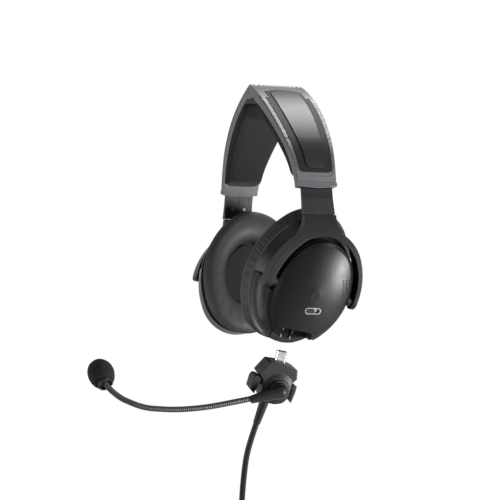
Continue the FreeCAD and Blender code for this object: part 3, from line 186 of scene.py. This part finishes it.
class Shader(Nodes):
    def __init__(self, name, color, roughness, metallic=0.0, **constants):
        self.material = bpy.data.materials.new(name)
        self.material.use_nodes = True
        super().__init__(self.material.node_tree)
        self.surface = self.tree.nodes["Principled BSDF"]
        self.set("Base Color", color)
        self.set("Roughness", roughness)
        self.set("Metallic", metallic)
        self.set("Specular IOR Level", plainSpecular)
        for key, value in constants.items():
            self.set(key.replace("_", " "), value)
        self.surfaceNormal = None

    def set(self, socket, value):
        self.plug(self.surface.inputs[socket], value)

    def place(self, output="Object"):
        return self.node("ShaderNodeTexCoord", {}, {}, output)

    def split(self, vector):
        return self.node("ShaderNodeSeparateXYZ", {}, {0: vector}, [0, 1, 2])

    def join(self, x, y, z):
        return self.node("ShaderNodeCombineXYZ", {}, {0: x, 1: y, 2: z})

    def noise(self, scale, detail=2.0, roughness=0.5, where=None):
        inputs = {"Vector": where or self.place(), "Scale": scale, "Detail": detail, "Roughness": roughness}
        return self.node("ShaderNodeTexNoise", {}, inputs)

    def cells(self, scale, feature="F1"):
        inputs = {"Vector": self.place(), "Scale": scale}
        return self.node("ShaderNodeTexVoronoi", {"feature": feature}, inputs, "Distance")

    def blend(self, share, first, second):
        return self.node("ShaderNodeMix", {"data_type": "RGBA"}, {0: share, 6: first, 7: second}, 2)

    def rounded(self, radius):
        return self.node("ShaderNodeBevel", {"samples": bevelSamples}, {"Radius": radius})

    def soften(self, radius):
        self.surfaceNormal = self.rounded(radius)
        self.set("Normal", self.surfaceNormal)

    def edge(self, radius):
        rounded = self.rounded(radius)
        flat = self.node("ShaderNodeNewGeometry", {}, {}, "Normal")
        likeness = self.node("ShaderNodeVectorMath", {"operation": "DOT_PRODUCT"}, {0: rounded, 1: flat}, 1)
        return (1 - likeness).step(0.02, 0.25)

    def bump(self, height, depth):
        inputs = {"Height": height, "Distance": depth, "Strength": 1.0}
        if self.surfaceNormal:
            inputs["Normal"] = self.surfaceNormal
        self.surfaceNormal = self.node("ShaderNodeBump", {}, inputs)
        self.set("Normal", self.surfaceNormal)


# Moulded plastic: grain is its bump in metres, soften the edges' rounding, spread how far the tone wanders, and
# the last factor how much lighter the edges are, partly as wear and partly as a painted highlight along the edges
def moulded(name, color, roughness, grain=0.00002, grainScale=2600, soften=0.0003, spread=0.12, wearAndHighlight=1.6,
            **constants):
    shader = Shader(name, color, roughness, **constants)
    cloud = shader.noise(45, 3)
    light = tuple(min(1.0, c * (1 + spread)) for c in color)
    dark = tuple(c * (1 - spread) for c in color)
    tone = shader.blend(cloud, dark, light)
    # Edges painted lighter: partly edge wear, partly a painted highlight along the rounded edges
    wornAndHighlit = tuple(min(1.0, c * wearAndHighlight + 0.004) for c in color)
    rubbedAndHighlitEdge = shader.edge(soften * 1.3) * shader.noise(260, 2) * 1.2
    shader.set("Base Color", shader.blend(rubbedAndHighlitEdge, tone, wornAndHighlit))
    shader.set("Roughness", shader.noise(180, 3) * 0.10 + (roughness - 0.05))
    shader.soften(soften)
    shader.bump(shader.noise(grainScale, 2), grain)
    return shader


def metal(name, color, roughness):
    shader = Shader(name, color, roughness, 1.0)
    x, y, z = shader.split(shader.place())
    lines = shader.noise(900, 3, 0.6, shader.join(x * 0.15, y * 0.15, z * 3))
    shader.set("Roughness", lines * 0.16 + (roughness - 0.06))
    shader.soften(0.0001)
    shader.bump(lines, 0.00001)
    return shader


# Headband arcs, in metres: both centres, their radii, the height where one arc takes over from the other, and
# half the height over which it does
arcs = {"top": (-0.0714675, -0.0254326), "topRadius": 0.195, "side": (0.01727, 0.05974), "sideRadius": 0.072,
        "handover": 0.1096, "reach": 0.0004}


def bandRun(shader):
    x, y, z = shader.split(shader.place())
    far = x.size()
    upper = z.step(arcs["handover"] - arcs["reach"], arcs["handover"] + arcs["reach"])

    def around(centre, radius):
        right, up = far - centre[0], z - centre[1]
        proud = (right * right + up * up).power(0.5) - radius
        return proud, right.turn(up) * radius
    topProud, topRun = around(arcs["top"], arcs["topRadius"])
    sideProud, sideRun = around(arcs["side"], arcs["sideRadius"])
    return topProud * upper + sideProud * (1 - upper), topRun * upper + sideRun * (1 - upper), z


def bandMaterial():
    shader = moulded("satinBand", (0.027, 0.028, 0.030), 0.34, grain=0.000014, grainScale=3200, soften=0.00045,
                     spread=0.06, wearAndHighlight=3.0, metallic=0.3, Specular_IOR_Level=0.22)
    proud, run, z = bandRun(shader)
    rail = proud.step(-0.0004, -0.0001) * z.step(0.088, 0.092) * (1 - z.step(0.139, 0.143))
    shader.bump(run.stripes(0.0013) * rail, 0.00004)
    return shader


def panelMaterial():
    shader = moulded("darkPanel", (0.0085, 0.0087, 0.0092), 0.42, grain=0.000008, grainScale=3600, spread=0.1,
                     wearAndHighlight=1.8)
    raised = bandRun(shader)[0].step(0.0004, 0.0008)
    shader.set("Base Color", shader.blend(raised, (0.0030, 0.0031, 0.0033), (0.0065, 0.0067, 0.0071)))
    shader.set("Roughness", raised * -0.20 + shader.noise(300, 3) * 0.05 + 0.50)
    return shader


# How far a point lies towards the oval's rear and its upper end, in metres
def cupWires(shader):
    x, y, z = shader.split(shader.place())
    offset = (x.size() - cupCentre.x * 0.001, y - cupCentre.y * 0.001, z - cupCentre.z * 0.001)

    def along(axis):
        return offset[0] * axis.x + offset[1] * axis.y + offset[2] * axis.z
    return along(ovalRear), along(ovalUp)


def housingMaterial():
    # Housing edges painted much lighter, mostly as a painted highlight along the rim
    shader = moulded("glossHousing", (0.0050, 0.0051, 0.0054), 0.24, grain=0.000005, grainScale=1400,
                     soften=0.0004, wearAndHighlight=8)
    rear, up = cupWires(shader)
    rear = (rear - drumOval["rear"] * 0.001) / (drumOval["short"] * 0.001)
    up = (up + drumOval["down"] * 0.001) / (drumOval["long"] * 0.001)
    # Inside the drum's oval, in the gap under the fork, the colour is painted darker as shade and the surface is
    # rougher; outside it the housing is lighter and glossy
    outside = (rear * rear + up * up).power(0.5).step(1.06, 1.10)
    shader.set("Roughness", 0.80 - outside * 0.54 + shader.noise(180, 3) * 0.05)
    shader.set("Base Color", shader.blend(outside, (0.0015, 0.0015, 0.0016), (0.0052, 0.0053, 0.0056)))
    return shader


# Width of a knit column and height of a row, in millimetres
knitColumn, knitRow = 1.15, 0.85


def knitMaterial():
    shader = Shader("knitPad", (0.006, 0.006, 0.0063), 0.94, Sheen_Weight=0.03, Sheen_Roughness=0.5)
    u, v, unused = shader.split(shader.place("UV"))
    column = (u * 1000 / knitColumn).fraction()
    row = (v * 1000 / knitRow + (column - 0.5).size() * 1.3).fraction()
    loop = (row * math.pi).sine() * (column * 2 * math.pi).sine().size().power(0.6)
    light = loop * 0.7 + shader.noise(90, 3) * 0.4
    shader.set("Base Color", shader.blend(light, (0.0009, 0.0009, 0.0010), (0.0055, 0.0055, 0.0057)))
    shader.bump(loop + shader.noise(4000, 2) * 0.3, 0.00022)
    return shader


def leatherMaterial():
    shader = Shader("softLeather", (0.006, 0.006, 0.0062), 0.46, Specular_IOR_Level=0.17)
    grain = shader.cells(1500, "DISTANCE_TO_EDGE").step(0.0, 0.12)
    crease = shader.noise(320, 4, 0.62)
    cloud = shader.noise(38, 4)
    shader.set("Base Color", shader.blend(cloud, (0.0032, 0.0032, 0.0034), (0.0064, 0.0064, 0.0066)))
    shader.set("Roughness", shader.noise(70, 3) * 0.14 + grain * -0.05 + 0.54)
    shader.bump(grain * 0.5 + crease, 0.00006)
    return shader


def scrimMaterial():
    shader = Shader("earMesh", (0.004, 0.004, 0.004), 0.9, Sheen_Weight=0.03)
    x, y, z = shader.split(shader.place())
    weave = y.stripes(0.0011) * z.stripes(0.0011)
    thread = weave.step(-0.2, 0.6)
    shader.set("Base Color", shader.blend(thread, (0.002, 0.002, 0.002), (0.010, 0.010, 0.0103)))
    shader.bump(weave, 0.00018)
    return shader


def foamMaterial():
    shader = Shader("openFoam", (0.006, 0.006, 0.0063), 0.96)
    pores = shader.cells(850).step(0.1, 0.6)
    shader.set("Base Color", shader.blend(pores, (0.0022, 0.0022, 0.0022), (0.0062, 0.0062, 0.0064)))
    shader.bump(pores + shader.noise(1600, 3) * 0.5, 0.00018)
    return shader


def sleeveMaterial():
    shader = Shader("boomSleeve", (0.008, 0.008, 0.0083), 0.42, Specular_IOR_Level=0.2)
    x, y, z = shader.split(shader.place())
    ribs = y.stripes(0.0014) * y.step(-0.134, -0.126)
    cloud = shader.noise(60, 3)
    shader.set("Base Color", shader.blend(cloud, (0.006, 0.006, 0.0063), (0.010, 0.010, 0.0103)))
    shader.bump(ribs, 0.00010)
    shader.bump(shader.noise(3000, 2), 0.00002)
    return shader


def cordMaterial():
    shader = Shader("cordJacket", (0.003, 0.003, 0.0032), 0.34, Specular_IOR_Level=0.09)
    cloud = shader.noise(50, 3)
    shader.set("Base Color", shader.blend(cloud, (0.0018, 0.0018, 0.0020), (0.0034, 0.0034, 0.0036)))
    shader.set("Roughness", shader.noise(200, 3) * 0.15 + 0.33)
    shader.bump(shader.noise(1400, 3), 0.00005)
    return shader


def tieMaterial():
    shader = Shader("wovenTie", (0.014, 0.014, 0.0145), 0.9, Sheen_Weight=0.3)
    weave = shader.noise(2400, 2, 0.7)
    x, y, z = shader.split(shader.place())
    rows = z.stripes(0.0009)
    thread = rows.step(-0.4, 0.6)
    shader.set("Base Color", shader.blend(thread, (0.007, 0.007, 0.0072), (0.022, 0.022, 0.0225)))
    shader.bump(rows * 0.6 + weave, 0.00012)
    return shader


def plugMaterial():
    shader = metal("platedPlug", (0.46, 0.46, 0.47), 0.12)
    patina = shader.noise(240, 3).step(0.35, 0.65)
    face = shader.blend(patina, (0.44, 0.44, 0.45), (0.60, 0.60, 0.61))
    # Painted shade: the plug's edges are darkened to near black
    shader.set("Base Color", shader.blend(shader.edge(0.0006), face, (0.02, 0.02, 0.021)))
    return shader


def makeMaterials():
    return {
        "band": bandMaterial(),
        "panel": panelMaterial(),
        "knit": knitMaterial(),
        "leather": leatherMaterial(),
        "scrim": scrimMaterial(),
        "foam": foamMaterial(),
        "sleeve": sleeveMaterial(),
        "cord": cordMaterial(),
        "tie": tieMaterial(),
        "slider": moulded("satinSlider", (0.0030, 0.0031, 0.0033), 0.36, grain=0.000012),
        "gloss": moulded("glossCover", (0.005, 0.005, 0.0052), 0.28, grain=0.000004, grainScale=900,
                         soften=0.0002),
        # Fork and dome edges are painted much lighter, mostly as a painted highlight along their rims
        "fork": moulded("satinFork", (0.0032, 0.0033, 0.0035), 0.37, grain=0.000010, grainScale=2800,
                        soften=0.0006, wearAndHighlight=5.0),
        "housing": housingMaterial(),
        "dome": moulded("satinDome", (0.0022, 0.0023, 0.0025), 0.34, grain=0.000010, soften=0.0006, wearAndHighlight=9.0),
        "flange": moulded("greyFlange", (0.012, 0.012, 0.0125), 0.42, grain=0.00001),
        "inner": moulded("innerPlastic", (0.010, 0.010, 0.0105), 0.42, grain=0.00001),
        "board": moulded("circuitBoard", (0.010, 0.045, 0.02), 0.35, grainScale=700),
        "silver": moulded("silverSwitch", (0.10, 0.102, 0.105), 0.36, grain=0.000008, grainScale=2400,
                          soften=0.0002, spread=0.06, wearAndHighlight=1.5, metallic=0.4),
        "module": moulded("satinModule", (0.0034, 0.0035, 0.0038), 0.42, grain=0.000014, grainScale=2400,
                          soften=0.0012, Specular_IOR_Level=0.10),
        "darkSteel": metal("darkSteel", (0.045, 0.045, 0.047), 0.38),
        "steel": metal("groundSteel", (0.42, 0.42, 0.43), 0.34),
        "plug": plugMaterial(),
        "gold": metal("platedContacts", (0.86, 0.70, 0.40), 0.26)}


# Which look each solid wears
bothSides = {
    "headband_frame": "band", "headband_panel": "panel", "slider": "slider", "slider_cover": "gloss",
    "slider_screws": "darkSteel", "fork": "fork", "pivot_pins": "steel", "swivel_pin": "steel",
    "cup_housing": "housing", "cup_cover": "dome", "cushion_flange": "flange", "speaker_baffle": "inner",
    "speaker": "steel", "circuit_board": "board"}
oneOnly = {
    "crown_hinge_pin": "steel", "crown_hinge_spring": "steel", "right_socket_cap": "housing",
    "mode_switch_bezel": "silver", "mode_switch_knob": "module", "socket_block": "inner",
    "socket_contacts": "darkSteel", "module_front_shell": "module", "module_rear_shell": "module",
    "latch_pins": "steel", "front_latch": "module", "rear_latch": "module", "plug_shell": "plug",
    "plug_tongue": "inner", "boom_elbow": "module", "boom_tube": "sleeve", "mic_capsule": "inner",
    "mic_ring": "module", "cord_strain_relief": "cord", "cord_tie": "tie", "panel_plug_shell": "module",
    "panel_plug_pins": "gold"}


def dress(materials):
    names = {side + "_" + node: look for side in ("left", "right") for node, look in bothSides.items()}
    names.update(oneOnly)
    for node, look in names.items():
        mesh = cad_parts[node].data
        mesh.materials.clear()
        mesh.materials.append(materials[look].material)


def smooth(share):
    share = min(1.0, max(0.0, share))
    return share * share * (3 - 2 * share)


def outward(angle):
    return Vector((math.sin(math.radians(angle)), 0, math.cos(math.radians(angle))))


# Headband, shared with the solids, in millimetres and degrees
band = {"crown": 156.0, "slope": 21.5, "topRadius": 195.0, "topLength": 84.0, "sideRadius": 72.0,
        "sideLength": 41.0, "thickness": 7.6, "wide": 21.7, "narrow": 15.1, "wideBelow": 10.0}
kneeAngle = band["slope"] + math.degrees(band["topLength"] / band["topRadius"])
topCentre = Vector((0, 0, band["crown"])) - outward(band["slope"]) * band["topRadius"]
sideCentre = topCentre + outward(kneeAngle) * (band["topRadius"] - band["sideRadius"])


def bandAngle(run):
    if run <= band["topLength"]:
        return band["slope"] + math.degrees(run / band["topRadius"])
    return kneeAngle + math.degrees((run - band["topLength"]) / band["sideRadius"])


def bandPoint(run, depth):
    if run <= band["topLength"]:
        return topCentre + outward(bandAngle(run)) * (band["topRadius"] - depth)
    return sideCentre + outward(bandAngle(run)) * (band["sideRadius"] - depth)


mouthHeight = bandPoint(band["topLength"] + band["sideLength"], 0).z


def bandHalfWidth(z):
    share = (z - mouthHeight) / (band["crown"] - band["wideBelow"] - mouthHeight)
    return band["narrow"] + (band["wide"] - band["narrow"]) * smooth(share)


def turnedAxes(cant, toe):
    c, t = math.radians(cant), math.radians(toe)
    out = Vector((math.cos(c) * math.cos(t), -math.sin(t) * math.cos(c), -math.sin(c)))
    rise = Vector((math.sin(c), 0, math.cos(c)))
    rise = (rise - out * rise.dot(out)).normalized()
    return rise.cross(out), rise, out


# Left cup: its centre in millimetres, how it is canted and toed in, and how its oval leans in its own plane
cup = {"centre": (79.4, -4.5, 0.0), "cant": 15.9, "toe": 3.4, "lean": 20.5}
drumOval = {"long": 39.6, "short": 28.7, "rear": 3.5, "down": 2.3}
cupCentre = Vector(cup["centre"])
cupRear, cupUp, cupOut = turnedAxes(cup["cant"], cup["toe"])
lean = math.radians(cup["lean"])
ovalRear = cupRear * math.cos(lean) - cupUp * math.sin(lean)
ovalUp = cupUp * math.cos(lean) + cupRear * math.sin(lean)


def inCup(x, y, depth):
    return cupCentre + ovalRear * x + ovalUp * y + cupOut * depth


# Reach of an oval of four arcs from its centre
def ovalReach(long, short, angle):
    diagonal = math.hypot(long, short)
    endRadius = diagonal * (diagonal - (long - short)) / (2 * long)
    sideRadius = diagonal * (diagonal + (long - short)) / (2 * short)
    x, y = abs(math.cos(angle)), abs(math.sin(angle))
    sideX = -(sideRadius - short)
    endY = long - endRadius
    along = x * sideX
    reach = along + math.sqrt(along * along - sideX * sideX + sideRadius * sideRadius)
    px, py = x * reach, y * reach
    if py * -sideX > endY * (px - sideX):
        along = y * endY
        reach = along + math.sqrt(max(0.0, along * along - endY * endY + endRadius * endRadius))
    return reach


def mirrored(point, side):
    return Vector((point.x * side, point.y, point.z))


def sideName(side, piece):
    return ("left" if side > 0 else "right") + piece


def meshPiece(name, points, faces, look, uvs=None):
    mesh = bpy.data.meshes.new(name)
    mesh.from_pydata([p * 0.001 for p in points], [], faces)
    mesh.polygons.foreach_set("use_smooth", [True] * len(mesh.polygons))
    if uvs:
        layer = mesh.uv_layers.new(name="UVMap")
        for loop in mesh.loops:
            layer.data[loop.index].uv = uvs[loop.vertex_index]
    mesh.materials.append(look.material)
    piece = bpy.data.objects.new(name, mesh)
    scene.collection.objects.link(piece)
    return piece


def gridFaces(rows, columns, closedRows, closedColumns, flip=False):
    faces = []
    for i in range(rows if closedRows else rows - 1):
        for j in range(columns if closedColumns else columns - 1):
            a = i * columns + j
            b = i * columns + (j + 1) % columns
            c = ((i + 1) % rows) * columns + (j + 1) % columns
            d = ((i + 1) % rows) * columns + j
            faces.append((d, c, b, a) if flip else (a, b, c, d))
    return faces


def endFaces(rows, columns, side):
    first = tuple(range(columns))
    last = tuple(range((rows - 1) * columns, rows * columns))
    return [first[::-1], last] if side > 0 else [first, last[::-1]]


def curveThrough(points, count):
    made = []
    spans = len(points) - 1
    for k in range(count):
        place = k / (count - 1) * spans
        i = min(int(place), spans - 1)
        t = place - i
        p0, p1, p2, p3 = (points[max(i - 1, 0)], points[i], points[i + 1], points[min(i + 2, spans)])
        made.append(tuple(0.5 * (2 * b + (c - a) * t + (2 * a - 5 * b + 4 * c - d) * t * t
                                 + (3 * b - a - 3 * c + d) * t ** 3) for a, b, c, d in zip(p0, p1, p2, p3)))
    return made


# Ear cushion: its section gives the share of the way from the outer outline to the ear opening, and the depth.
# Its width between the two, and its pleats and creases, are in millimetres
earCushion = {
    "rings": 440, "across": 96, "long": 53.6, "short": 39.6, "openLong": 26.8, "openShort": 19.1, "width": 24,
    "deepest": -37.2, "leftSeed": 3.0, "rightSeed": 11.0, "rollPleat": 0.42, "rollFine": 0.28, "rollDrawn": 0.62,
    "skirtPleat": 0.08, "mouthPleat": 0.12, "mouthFine": 0.16, "faceWave": 0.30, "faceCrinkle": 0.20,
    "section": [(0.285, -20.3), (0.235, -20.8), (0.21, -21.9), (0.225, -23.0), (0.19, -24.2), (0.105, -26.6),
                (0.025, -29.8), (0.035, -32.4), (0.13, -35.3), (0.27, -36.7), (0.41, -36.95), (0.55, -36.75),
                (0.70, -35.7), (0.84, -33.2), (0.945, -29.4), (0.98, -25.4), (0.95, -22.0), (0.90, -20.4)]}


def cushionSwell(ringway, share, depth, seed):
    skirt = math.exp(-((share - 0.10) / 0.05) ** 2) if depth > -23 else 0.0
    roll = math.exp(-((depth + 26.4) / 3.2) ** 2) if share < 0.3 else 0.0
    mouth = math.exp(-((share - 0.93) / 0.09) ** 2)
    face = smooth((share - 0.05) / 0.2) * smooth((0.8 - share) / 0.2) * (1 if depth < -30 else 0)
    gather = noise.noise(ringway * 15.0 + Vector((0, 0, share * 3 + seed)))
    fine = noise.noise(ringway * 34.0 + Vector((0, 0, share * 5 + seed * 2)))
    broad = noise.noise(ringway * 2.6 + Vector((0, 0, share * 2.2 + seed * 3)))
    low = smooth((-ringway.y + 0.2) / 0.8)
    crinkle = noise.noise(Vector((ringway.x * 8 + share * 2, ringway.y * 8 - share * 3, seed)))
    return (roll * (earCushion["rollPleat"] * gather + earCushion["rollFine"] * fine - earCushion["rollDrawn"])
            + earCushion["skirtPleat"] * skirt * gather
            + mouth * (earCushion["mouthPleat"] * gather + earCushion["mouthFine"] * fine)
            + face * (earCushion["faceWave"] * broad + earCushion["faceCrinkle"] * low * crinkle))


def makeCushion(side, look):
    rings, across = earCushion["rings"], earCushion["across"]
    section = curveThrough(earCushion["section"], across)
    seed = earCushion["leftSeed"] if side > 0 else earCushion["rightSeed"]
    points = []
    for i in range(rings):
        angle = 2 * math.pi * i / rings
        outer = ovalReach(earCushion["long"], earCushion["short"], angle)
        inner = ovalReach(earCushion["openLong"], earCushion["openShort"], angle)
        ringway = Vector((math.cos(angle), math.sin(angle), 0))
        for j, (share, depth) in enumerate(section):
            before = section[max(j - 1, 0)]
            after = section[min(j + 1, across - 1)]
            reach = outer + (inner - outer) * share
            slope = Vector((-(after[0] - before[0]) * earCushion["width"], after[1] - before[1]))
            normal = Vector((-slope.y, slope.x)).normalized()
            offset = normal * cushionSwell(ringway, share, depth, seed)
            place = ringway * (reach + offset.x)
            point = inCup(place.x, place.y, max(earCushion["deepest"], depth + offset.y))
            points.append(mirrored(point, side))
    faces = gridFaces(rings, across, True, True, side > 0)
    piece = meshPiece(sideName(side, "EarCushion"), points, faces, look)
    return piece


# Lip behind the fork's ring, beside the dome: how far outside the drum's oval it lies, its depths in the cup, how
# far it stands inwards at its ends, its angles round the oval and the shares over which it grows and shrinks
forkLip = {"outer": 4.5, "inner": 2.72, "low": -3.1, "high": -1.5, "least": 0.7, "from": 8, "to": 69,
           "grows": 0.2, "shrinks": 0.10, "steps": 60}


def makeForkLip(side, look):
    steps = forkLip["steps"]
    points = []
    middle = (forkLip["low"] + forkLip["high"]) / 2
    half = (forkLip["high"] - forkLip["low"]) / 2
    section = [(0.0, -half), (0.75, -half), (0.94, -half * 0.7), (1.0, 0.0), (0.94, half * 0.7), (0.75, half),
               (0.0, half)]
    most = forkLip["outer"] - forkLip["inner"]
    for i in range(steps):
        turn = i / (steps - 1)
        angle = math.radians(forkLip["from"] + (forkLip["to"] - forkLip["from"]) * turn)
        fullness = smooth(turn / forkLip["grows"]) * smooth((1 - turn) / forkLip["shrinks"])
        reachIn = forkLip["least"] + (most - forkLip["least"]) * fullness
        for share, lift in section:
            grow = forkLip["outer"] - reachIn * share
            reach = ovalReach(drumOval["long"] + grow, drumOval["short"] + grow, angle)
            across, along = math.cos(angle) * reach, math.sin(angle) * reach
            point = inCup(drumOval["rear"] + across, along - drumOval["down"], middle + lift)
            points.append(mirrored(point, side))
    columns = len(section)
    faces = gridFaces(steps, columns, False, True, side < 0) + endFaces(steps, columns, side)
    return meshPiece(sideName(side, "ForkLip"), points, faces, look)


# Cloth over the speaker: an oval of two layers, the ear's side domed
earScrim = {"rings": 96, "steps": 14, "long": 26.2, "short": 18.5, "depth": -22.0, "thickness": 0.8, "dome": 0.6}


def makeScrim(side, look):
    rings, steps = earScrim["rings"], earScrim["steps"]
    points = []
    for layer in (0, 1):
        for k in range(steps):
            share = (k + 0.5) / (steps - 0.5) if layer == 0 else (steps - k - 0.5) / (steps - 0.5)
            lift = earScrim["thickness"] if layer else -earScrim["dome"] * (1 - share * share)
            for i in range(rings):
                angle = 2 * math.pi * i / rings
                reach = ovalReach(earScrim["long"], earScrim["short"], angle) * share
                point = inCup(math.cos(angle) * reach, math.sin(angle) * reach, earScrim["depth"] + lift)
                points.append(mirrored(point, side))
    faces = gridFaces(2 * steps, rings, True, True, side < 0)
    piece = meshPiece(sideName(side, "EarScrim"), points, faces, look)
    return piece


# Headband pad: its half section gives shares of the half width and of the height. Its rows crowd towards both
# ends, and its seam lies at a share of the half width
headPad = {
    "rows": 190, "crowding": 0.7, "halfCount": 44, "baseCount": 20, "start": 17.0, "pastEnd": 9.5, "inset": 1.0,
    "corner": 5.0, "height": 9.8, "endHeight": 3.0, "gap": 0.3, "seam": 0.28, "seamAt": 0.85, "seamWidth": 0.035,
    "unevenness": 0.14,
    "section": [(1.0, 0.0), (1.02, 0.16), (1.03, 0.34), (1.01, 0.52), (0.96, 0.69), (0.89, 0.80), (0.84, 0.835),
                (0.78, 0.868), (0.62, 0.925), (0.42, 0.965), (0.21, 0.99), (0.0, 1.0)]}


def makeHeadPad(side, look):
    half = curveThrough(headPad["section"], headPad["halfCount"])
    top = half + [(-across, rise) for across, rise in reversed(half[:-1])]
    base = [(-1 + 2 * k / headPad["baseCount"], 0.0) for k in range(1, headPad["baseCount"])]
    section = top + base
    across = len(section)
    length = band["topLength"] + band["sideLength"] - headPad["pastEnd"] - headPad["start"]
    rows = headPad["rows"]
    points, uvs = [], []
    for i in range(rows):
        turn = i / (rows - 1)
        along = length * (turn - math.sin(2 * math.pi * turn) / (2 * math.pi) * headPad["crowding"])
        fromEnd = min(along, length - along)
        fullness = math.sin(math.pi / 2 * min(1.0, fromEnd / (2.0 * headPad["corner"])))
        height = headPad["endHeight"] + (headPad["height"] - headPad["endHeight"]) * fullness
        corner = max(0.0, 1 - fromEnd / headPad["corner"])
        inset = headPad["inset"] + headPad["corner"] * 0.8 * (1 - math.sqrt(1 - corner * corner * 0.98))
        run = headPad["start"] + along
        foot = bandPoint(run, band["thickness"] + headPad["gap"])
        inward = -outward(bandAngle(run))
        width = bandHalfWidth(foot.z) - inset
        around = 0.0
        for j, (share, rise) in enumerate(section):
            fromSeam = (abs(share) - headPad["seamAt"]) / headPad["seamWidth"]
            crease = math.exp(-fromSeam ** 2) if rise > 0.5 else 0.0
            lift = height * rise - headPad["seam"] * crease * fullness
            if rise > 0:
                uneven = noise.noise(Vector((run * 0.06, share * 1.4, side * 5)))
                lift += headPad["unevenness"] * uneven * fullness
            point = mirrored(foot + Vector((0, width * share, 0)) + inward * lift, side)
            if j:
                around += (point - points[-1]).length
            points.append(point)
            uvs.append((around * 0.001, run * 0.001))
    faces = gridFaces(rows, across, False, True, side < 0) + endFaces(rows, across, side)
    piece = meshPiece(sideName(side, "HeadPad"), points, faces, look, uvs)
    return piece


# Microphone windscreen, in millimetres: its axis, its bore's mouth, its unevenness, and its profile as radius and
# place on the axis
foam = {
    "axis": (-0.78, -0.10, 0.62), "mouth": (49.8, -148.9, -69.9), "depth": 9.0, "rings": 96, "stations": 70,
    "broad": 0.22, "fine": 0.10,
    "profile": [(4.75, 4.6), (4.75, -2.0), (4.75, -8.0), (5.4, -8.95), (6.7, -8.7), (8.4, -6.0), (9.45, -2.0),
                (9.6, 1.2), (8.9, 5.0), (7.1, 8.6), (4.6, 10.8), (2.0, 11.6), (0.05, 11.65)]}


def makeWindscreen(look):
    axis = Vector(foam["axis"]).normalized()
    heart = Vector(foam["mouth"]) + axis * foam["depth"]
    across = axis.cross(Vector((0, 0, 1))).normalized()
    other = axis.cross(across)
    rings, stations = foam["rings"], foam["stations"]
    profile = curveThrough(foam["profile"], stations)
    points = []
    for i in range(rings):
        angle = 2 * math.pi * i / rings
        ringway = across * math.cos(angle) + other * math.sin(angle)
        for radius, along in profile:
            spoke = ringway * radius + axis * along
            point = heart + spoke
            wobble = noise.noise(point * 0.16) * foam["broad"] + noise.noise(point * 0.9) * foam["fine"]
            outside = smooth((radius - 4.9) / 0.8) if along < 5 else 1.0
            points.append(point + spoke.normalized() * wobble * outside)
    faces = gridFaces(rings, stations, True, False)
    piece = meshPiece("micWindscreen", points, faces, look)
    return piece


# Cord, in millimetres: points down to the coil, the coil's measures, whose turns are more points, and the tail
cordLead = [(49.4, -32.1, -103.2), (45.1, -37.4, -122.0), (38.2, -37.7, -142.0), (26.4, -35.2, -166.0),
            (7.3, -28.6, -190.0), (3.5, -27.3, -214.0)]
cordCoil = {"x": 3.0, "radius": 34.0, "turns": 4, "pitch": 5.1, "sideY": -27.0, "centreZ": -254.0, "perHalf": 8}
cordTail = [(8.1, -27.0, -254.0), (8.1, -27.0, -268.0), (8.1, -27.0, -300.0)]
cordRadius = 2.25


def cordRoute():
    points = [Vector(p) for p in cordLead]
    pitch = cordCoil["pitch"]
    radius = cordCoil["radius"]
    start = cordCoil["sideY"]
    x = cordCoil["x"]
    perHalf = cordCoil["perHalf"]
    halves = 2 * cordCoil["turns"]
    for layer in (0, 1):
        for half in range(halves):
            side = 1 if half % 2 == 0 else -1
            centre = start + side * radius
            crossing = layer == 0 and half == halves - 1
            for k in range(perHalf):
                turn = math.pi * k / perHalf
                wide = radius / math.cos(math.pi / perHalf / 2) ** 0.5
                y = centre - side * wide * math.cos(turn)
                z = cordCoil["centreZ"] - side * wide * math.sin(turn)
                shift = pitch * smooth(k / perHalf) if crossing else 0.0
                points.append(Vector((x + shift, y, z)))
            start += side * 2 * radius
            if crossing:
                x += pitch
            radius += -pitch / 2 if layer == 0 and half < halves - 1 else pitch / 2
    return points + [Vector(p) for p in cordTail]


def makeCord(look):
    data = bpy.data.curves.new("headsetCord", "CURVE")
    data.dimensions = "3D"
    data.bevel_depth = cordRadius * 0.001
    data.bevel_resolution = 6
    data.resolution_u = 8
    data.use_fill_caps = True
    spline = data.splines.new("NURBS")
    route = cordRoute()
    spline.points.add(len(route) - 1)
    for point, place in zip(spline.points, route):
        point.co = (*(place * 0.001), 1.0)
    spline.order_u = 3
    spline.use_endpoint_u = True
    data.materials.append(look.material)
    piece = bpy.data.objects.new("headsetCord", data)
    scene.collection.objects.link(piece)
    return piece


# Pale floor far below, a disc in metres
disc = {"reach": 0.6, "corners": 64, "height": -0.38}


def makeFloor():
    turns = [2 * math.pi * k / disc["corners"] for k in range(disc["corners"])]
    rim = [(disc["reach"] * math.cos(turn), disc["reach"] * math.sin(turn), disc["height"]) for turn in turns]
    mesh = bpy.data.meshes.new("floor")
    mesh.from_pydata(rim, [], [tuple(range(disc["corners"]))])
    piece = bpy.data.objects.new("floor", mesh)
    scene.collection.objects.link(piece)
    pale = Shader("paleFloor", (0.85, 0.85, 0.85), 0.7)
    pale.set("Base Color", pale.blend(pale.noise(6, 2), (0.83, 0.83, 0.83), (0.86, 0.86, 0.86)))
    mesh.materials.append(pale.material)
    return piece


addCamera()
addStudio()
materials = makeMaterials()
print("camera, studio and materials made")

headsetCord = makeCord(materials["cord"])
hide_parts("cord_lead", "cord_coil", "cord_tail")
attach(headsetCord, "mic_module")
print("cord made")

dress(materials)
for side, word in ((1, "left"), (-1, "right")):
    cushion = makeCushion(side, materials["leather"])
    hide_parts(word + "_ear_cushion")
    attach(cushion, word + "_cup")
    lip = makeForkLip(side, materials["fork"])
    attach(lip, word + "_fork")
    scrim = makeScrim(side, materials["scrim"])
    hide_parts(word + "_ear_scrim")
    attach(scrim, word + "_cup")
    pad = makeHeadPad(side, materials["knit"])
    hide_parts(word + "_headband_pad")
    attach(pad, word + "_arm")
print("cushions, scrims and pads made")

windscreen = makeWindscreen(materials["foam"])
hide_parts("mic_windscreen")
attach(windscreen, "mic_boom")
print("windscreen made")

floor = makeFloor()
print("floor made")
